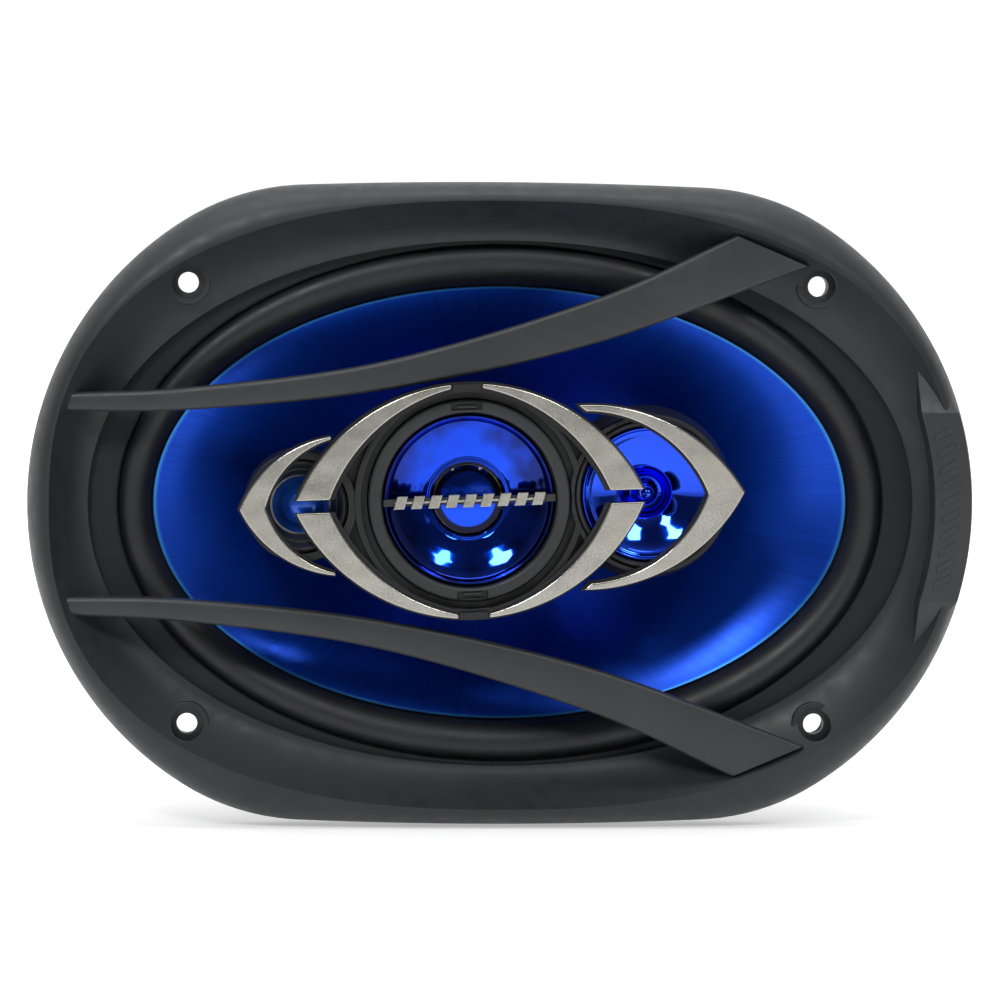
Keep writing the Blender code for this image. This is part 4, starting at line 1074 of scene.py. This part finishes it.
def arc_trim_outline(grow_out=0.0, grow_in=0.0, end_u=ARC_END_U, tip_v=ARC_TIP_V, count=33):
    """Upper right arc of the eye shape: from its narrow end at the top to its wide end over the tweeter."""
    outer = ARC_OUTER_RADIUS + grow_out
    inner = ARC_INNER_RADIUS - grow_in
    centre_u, centre_v = ARC_INNER_CENTRE
    start = math.atan2(math.sqrt(outer**2 - end_u**2), end_u)
    stop = math.asin((tip_v - ARC_CENTRE_V) / outer)
    points = []
    for step in range(count):
        turn = start + (stop - start) * step / (count - 1)
        points.append((outer * math.cos(turn), ARC_CENTRE_V + outer * math.sin(turn)))
    start = math.acos((end_u + centre_u) / inner)
    stop = math.asin((tip_v - centre_v) / inner)
    for step in range(count):
        turn = stop + (start - stop) * step / (count - 1)
        points.append((inner * math.cos(turn) - centre_u, centre_v + inner * math.sin(turn)))
    return points


def crescent_outline(outer_end, inner_end, tip_u, notch_u, outer_radius, inner_radius, count=25):
    outer = arc(outer_end, (tip_u, 0.0), outer_radius, count)
    inner = arc(inner_end, (notch_u, 0.0), inner_radius, count)
    lower_outer = mirrored(outer, 1, -1)[:-1]
    lower_inner = mirrored(inner, 1, -1)[:-1]
    return outer + lower_outer[::-1] + lower_inner + inner[::-1]


def right_crescent(grow=0.0):
    outer_end, inner_end = (28.7 - grow, 24.1 + 0.6 * grow), (30.8 - grow, 22.4 - grow)
    return crescent_outline(outer_end, inner_end, 71.6 + grow, 62.0 - grow, 47.0, 34.5)


def left_crescent(grow=0.0):
    outer_end, inner_end = (35.6, 18.1 + 0.6 * grow), (35.6, 17.3 - grow)
    return mirrored(crescent_outline(outer_end, inner_end, 60.0 + grow, 53.2 - grow, 30.7, 24.6), -1)


def trims(surfaces):
    """Six bright trims with narrow bevelled edges."""
    outlines = {"crescent_trim_right": right_crescent(), "crescent_trim_left": left_crescent()}
    for name, flip_u, flip_v in (
        ("arc_trim_upper_left", -1, 1),
        ("arc_trim_upper_right", 1, 1),
        ("arc_trim_lower_left", -1, -1),
        ("arc_trim_lower_right", 1, -1),
    ):
        outlines[name] = mirrored(arc_trim_outline(), flip_u, flip_v)
    for name, outline in outlines.items():
        made = on_pod(f"{name}_metal", slab(outline, TRIM_Y), surfaces.trim, [name])
        soften(made, 0.42, 2, 40)


def eye_outline(grow=0.45, count=49):
    outer = ARC_OUTER_RADIUS + grow
    stop = math.asin(-ARC_CENTRE_V / outer)
    upper = []
    for step in range(count):
        turn = math.pi - stop + (2 * stop - math.pi) * step / (count - 1)
        upper.append((outer * math.cos(turn), ARC_CENTRE_V + outer * math.sin(turn)))
    return upper + mirrored(upper, 1, -1)[1:-1][::-1]


def bezel(surfaces):
    """Front moulding of the pod: openings for the three drivers and raised carriers under the trims."""
    right, left = (RIGHT_U, 0.0), (LEFT_U, 0.0)
    made = on_pod("bezel_moulding", slab(eye_outline(), (-15.5, -12.3)), surfaces.pod, ["pod_bezel"])
    parts = [
        spun(disc(20.9, (-15.3, -12.35)), right),
        spun(disc(14.6, (-15.2, -12.45)), left, 72),
        spun(ring((28.3, 30.1), (-18.9, -13.0)), steps=120),
        spun(ring((18.5, 20.85), (-18.8, -13.1)), right),
        spun(ring((11.5, 14.5), (-18.7, -13.2)), left, 72),
        slab(right_crescent(0.5), (-20.85, -18.45)),
        slab(left_crescent(0.5), (-20.8, -18.4)),
    ]
    for flip in (1, -1):
        count = 33
        right_half = arc_trim_outline(0.45, 1.1, -0.4, count=count)
        outer, inner = right_half[:count], right_half[count:]
        left_outer, left_inner = mirrored(outer, -1)[::-1], mirrored(inner, -1)[::-1]
        rainbow = left_outer[:-1] + outer[1:] + inner[:-1] + left_inner[1:]
        parts.append(slab(mirrored(rainbow, 1, flip), (-20.9, -18.5)))
        block = [(-3.6, 28.95), (3.6, 28.95), (3.6, 30.45), (-3.6, 30.45)]
        parts.append(slab(mirrored(block, 1, flip), (-22.6, -19.4)))
    join(made, parts, "UNION", pod_turn())
    openings = [
        spun(disc(26.7, (-26.0, -5.0)), steps=120),
        spun(disc(19.7, (-19.2, -5.0)), right),
        spun(disc(12.4, (-19.2, -5.0)), left, 72),
    ]
    join(made, openings, "DIFFERENCE", pod_turn())


def housing(surfaces):
    """Rear moulding of the pod: three cups on one hub that sits on the stem."""
    right_place, left_place, hub_place = (RIGHT_U, 0.0), (LEFT_U, 0.0), (9.25, -1.1)
    cup = rounded([(0.0, 0.0), (28.0, 0.0), (29.6, -2.5), (29.6, -12.0), (0.0, -12.0)], 0.8, closed=False)
    made = on_pod("pod_cups", spun(cup, steps=120), surfaces.pod, ["pod_housing"])
    right = [(0.0, -0.1), (21.6, -0.1), (22.9, -1.8), (22.9, -5.0), (20.9, -11.9), (0.0, -11.9)]
    left = [(0.0, -0.2), (13.6, -0.2), (14.9, -1.9), (14.5, -11.8), (0.0, -11.8)]
    web = [(-44, 10), (0, 24), (44, 16), (44, -16), (0, -24), (-44, -10)]
    hub = [(0.0, 6.1), (8.5, 6.1), (14.0, -0.5), (14.0, -3.0), (0.0, -3.0)]
    parts = [
        spun(rounded(right, 0.6, closed=False), right_place),
        spun(rounded(left, 0.6, closed=False), left_place),
        slab(web, (-11.7, -0.4)),
        spun(rounded(hub, 0.6, closed=False), hub_place, 64),
    ]
    join(made, parts, "UNION", pod_turn())
    cavities = [
        spun(disc(27.0, (-14.0, -1.0)), steps=120),
        spun(disc(18.9, (-14.1, -1.1)), right_place),
        spun(disc(12.2, (-14.2, -1.2)), left_place),
        spun(disc(2.6, (-2.0, 8.0)), hub_place, 32),
    ]
    join(made, cavities, "DIFFERENCE", pod_turn())


def midrange(surfaces):
    frame = [(22.9, -15.4), (22.9, -18.0), (23.4, -18.5), (25.9, -18.5), (26.4, -18.0), (26.4, -8.0)]
    frame += [(24.8, -8.0), (24.8, -11.9), (21.0, -11.9), (21.0, -12.9), (22.9, -12.9)]
    made = on_pod("mid_ring", spun(rounded(frame, 0.3), steps=120), surfaces.ring, ["mid_frame"])
    notch = [(-4.1, 23.6), (4.1, 23.6), (4.1, 25.6), (-4.1, 25.6)]
    join(made, [slab(mirrored(notch, 1, flip), (-20.0, -17.0)) for flip in (1, -1)], "DIFFERENCE", pod_turn())
    for name, flip in (("mid_clip_upper", 1), ("mid_clip_lower", -1)):
        shape = mirrored([(-2.6, 24.0), (2.6, 24.0), (2.6, 24.8), (-2.6, 24.8)], 1, flip)
        clip = on_pod(name, slab(shape, (-18.0, -17.1)), surfaces.ring)
        soften(clip, 0.2, 2)
    front = [(22.5, -14.3), (22.2, -15.0), (21.7, -15.1), (21.3, -14.6), (20.7, -14.0), (19.0, -12.95)]
    front += [(17.0, -11.95), (14.5, -10.9), (12.6, -10.25), (11.2, -9.85), (10.7, -9.6), (10.2, -9.1)]
    front.append((9.1, -8.8))
    front = rounded(front, 0.5, 3, closed=False)
    rear = [(radius, y + 0.5) for radius, y in reversed(front)]
    dish = spun(front + rear, steps=144)
    on_pod("mid_dish", dish, surfaces.mirror_dish, ["mid_diaphragm"], "mid_cone", 40)
    cap = [(0.0, -11.05)]
    for step in range(1, 13):
        share = step / 12
        cap.append((8.9 * share, -11.05 + 1.65 * share**2.2))
    cap += [(8.9, -8.9), (6.2, -9.9), (0.0, -10.6)]
    on_pod("mid_cap", spun(cap), surfaces.mirror_cap, ["mid_dust_cap"], "mid_cone", 50)


def right_tweeter(surfaces):
    place = (RIGHT_U, 0.0)
    outer = [(17.9, -16.4), (18.3, -17.6), (19.0, -17.6), (19.4, -17.2), (19.4, -12.4), (18.2, -12.4)]
    outer += [(18.2, -15.6), (17.9, -15.6)]
    rim = spun(rounded(outer, 0.25), place, 120)
    on_pod("tweeter_right_bezel_ring", rim, surfaces.ring, ["tweeter_right_ring"])
    front = [(17.6, -15.4), (17.3, -15.85), (16.9, -15.8), (16.5, -15.25), (15.9, -15.1), (14.6, -14.15)]
    front += [(13.0, -13.25), (11.0, -12.35), (9.0, -11.5), (7.0, -10.4), (5.4, -9.3), (4.4, -8.6)]
    front = rounded(front, 1.2, 4, closed=False)
    rear = [(radius, y + 0.6) for radius, y in reversed(front)]
    bowl, surface = spun(front + rear, place, 144), surfaces.mirror
    on_pod("tweeter_right_bowl", bowl, surface, ["tweeter_right_reflector"], sharp_deg=40)
    bullet = [(0.0, -13.95)]
    for degrees in range(15, 150, 15):
        angle = math.radians(degrees)
        bullet.append((1.75 * math.sin(angle), -12.2 - 1.75 * math.cos(angle)))
    bullet += [(0.8, -10.0), (1.1, -6.3), (0.0, -6.3)]
    ball = spun(bullet, place, 40)
    on_pod("tweeter_right_ball", ball, surface, ["tweeter_right_bullet"], sharp_deg=40)


def left_tweeter(surfaces):
    place = (LEFT_U, 0.0)
    outer = [(7.9, -11.4), (9.2, -13.4), (9.8, -13.4), (10.6, -16.2), (11.3, -16.8), (12.1, -16.4)]
    outer += [(12.1, -12.3), (10.4, -12.3), (7.9, -10.9)]
    on_pod("tweeter_left_bezel_ring", spun(rounded(outer, 0.3), place), surfaces.ring, ["tweeter_left_ring"])
    dome = [(0.0, -14.6)]
    for step in range(1, 11):
        share = step / 10
        dome.append((5.6 * share, -10.9 - 3.7 * math.sqrt(1 - (share * 0.985) ** 2)))
    dome += [(6.3, -10.9), (7.4, -10.5), (7.4, -10.0), (5.2, -10.3), (3.8, -12.6), (0.0, -14.0)]
    cap, body = spun(dome, place, 72), "tweeter_left_cone"
    on_pod("tweeter_left_cap", cap, surfaces.dome, ["tweeter_left_dome"], body, 50)


def badge(surfaces):
    """Thin bar across the midrange with nine plain slanted ribs on a narrow spine."""
    bar = [(-22.5, -0.95), (22.5, -0.95), (22.5, 0.95), (-22.5, 0.95)]
    made = on_pod("badge_rail", slab(bar, (-16.4, -18.0)), surfaces.ring, ["badge_bar"])
    soften(made, 0.25, 3)
    count, pitch, half_width, half_height, slant = 9, 4.5, 1.45, 1.7, 0.55
    ribs = bmesh.new()
    spine = [(-19.6, -0.35), (19.6, -0.35), (19.6, 0.35), (-19.6, 0.35)]
    sections_solid([[(u, y, v) for u, v in spine] for y in (-18.3, -18.7)], ribs)
    for number in range(count):
        middle = (number - (count - 1) / 2) * pitch
        low, high = middle - slant, middle + slant
        rib = [(low - half_width, -half_height), (low + half_width, -half_height)]
        rib += [(high + half_width, half_height), (high - half_width, half_height)]
        sections_solid([[(u, y, v) for u, v in rib] for y in (-18.3, -19.2)], ribs)
    made = on_pod("badge_slats", ribs, surfaces.trim, ["badge_ribs"])
    soften(made, 0.3, 3)


def dress_hidden(surfaces, nodes):
    """Materials for the small CAD pieces inside the pod, which keep their own meshes."""
    for name, surface in (
        ("mid_magnet", surfaces.plate),
        ("mid_voice_coil", surfaces.winding),
        ("tweeter_right_magnet", surfaces.plate),
        ("tweeter_right_coil", surfaces.winding),
        ("tweeter_right_diaphragm", surfaces.mirror),
        ("tweeter_left_magnet", surfaces.plate),
        ("tweeter_left_coil", surfaces.winding),
    ):
        mesh = nodes[name].data
        mesh.materials.clear()
        mesh.materials.append(surface)


# ---------------------------------------------------------------- studio


def softbox(name, place, size, power):
    """A soft rectangular light that faces the object."""
    light = bpy.data.lights.new(name, "AREA")
    light.shape = "RECTANGLE"
    light.size, light.size_y = size
    light.energy = power
    made = bpy.data.objects.new(name, light)
    bpy.context.scene.collection.objects.link(made)
    made.location = place
    made.rotation_euler = (-Vector(place)).to_track_quat("-Z", "Y").to_euler()


def world():
    """White behind the object, dimmer in front of it, so that bright metal has something dark to show."""
    made = bpy.data.worlds.new("studio")
    made.use_nodes = True
    tree = made.node_tree
    place = tree.nodes.new("ShaderNodeTexCoord")
    split = tree.nodes.new("ShaderNodeSeparateXYZ")
    ramp = tree.nodes.new("ShaderNodeMapRange")
    ramp.interpolation_type = "SMOOTHSTEP"
    for socket, value in (("From Min", -0.7), ("From Max", 0.25), ("To Min", 0.06), ("To Max", 1.05)):
        ramp.inputs[socket].default_value = value
    tree.links.new(place.outputs["Generated"], split.inputs[0])
    tree.links.new(split.outputs[1], ramp.inputs["Value"])
    tree.links.new(ramp.outputs["Result"], tree.nodes["Background"].inputs["Strength"])
    tree.nodes["Background"].inputs["Color"].default_value = (1.0, 1.0, 1.0, 1.0)
    bpy.context.scene.world = made


def floor(surface, height):
    data = bmesh.new()
    reach = 14.0
    corners = [(-reach, -reach), (reach, -reach), (reach, reach), (-reach, reach)]
    data.faces.new([data.verts.new((x, y, height)) for x, y in corners])
    mesh = bpy.data.meshes.new("studio_floor")
    data.to_mesh(mesh)
    data.free()
    mesh.materials.append(surface)
    made = bpy.data.objects.new("studio_floor", mesh)
    bpy.context.scene.collection.objects.link(made)


def camera():
    azimuth, elevation = math.radians(CAMERA_AZIMUTH_DEG), math.radians(CAMERA_ELEVATION_DEG)
    level = math.cos(elevation)
    back = Vector((math.sin(azimuth) * level, -math.cos(azimuth) * level, math.sin(elevation)))
    data = bpy.data.cameras.new("camera")
    data.sensor_width = 36.0
    data.lens = CAMERA_LENS
    data.shift_x, data.shift_y = CAMERA_SHIFT
    data.clip_start = 0.01
    made = bpy.data.objects.new("camera", data)
    bpy.context.scene.collection.objects.link(made)
    made.location = back * CAMERA_DISTANCE
    made.rotation_mode = "QUATERNION"
    roll = Matrix.Rotation(math.radians(CAMERA_ROLL_DEG), 4, "Z").to_quaternion()
    made.rotation_quaternion = (-back).to_track_quat("-Z", "Y") @ roll
    bpy.context.scene.camera = made


def studio(lowest):
    camera()
    world()
    floor(plain_studio("studio_white", (0.7, 0.7, 0.7), 0.7, 0.78), lowest - FLOOR_GAP)
    softbox("top_softbox", (0.0, -0.12, 1.1), (1.1, 0.7), 6)
    softbox("left_softbox", (-0.47, -0.95, 0.86), (0.32, 0.28), 7)
    softbox("right_softbox", (0.47, -0.95, 0.86), (0.27, 0.22), 3.4)
    softbox("right_card", (0.65, -1.9, 0.1), (0.95, 0.7), 0.9)
    bpy.context.scene.view_settings.view_transform = "Standard"


def main():
    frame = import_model()
    cad_low, cad_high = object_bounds()
    surfaces = Surfaces()
    for build in (grille_rim, grille_bars, grille_pad, basket, woofer, motor, terminals, capacitors):
        build(surfaces)
    for build in (housing, bezel, midrange, right_tweeter, left_tweeter, badge, trims):
        build(surfaces)
    dress_hidden(surfaces, frame["nodes"])
    studio(cad_low.z)


main()
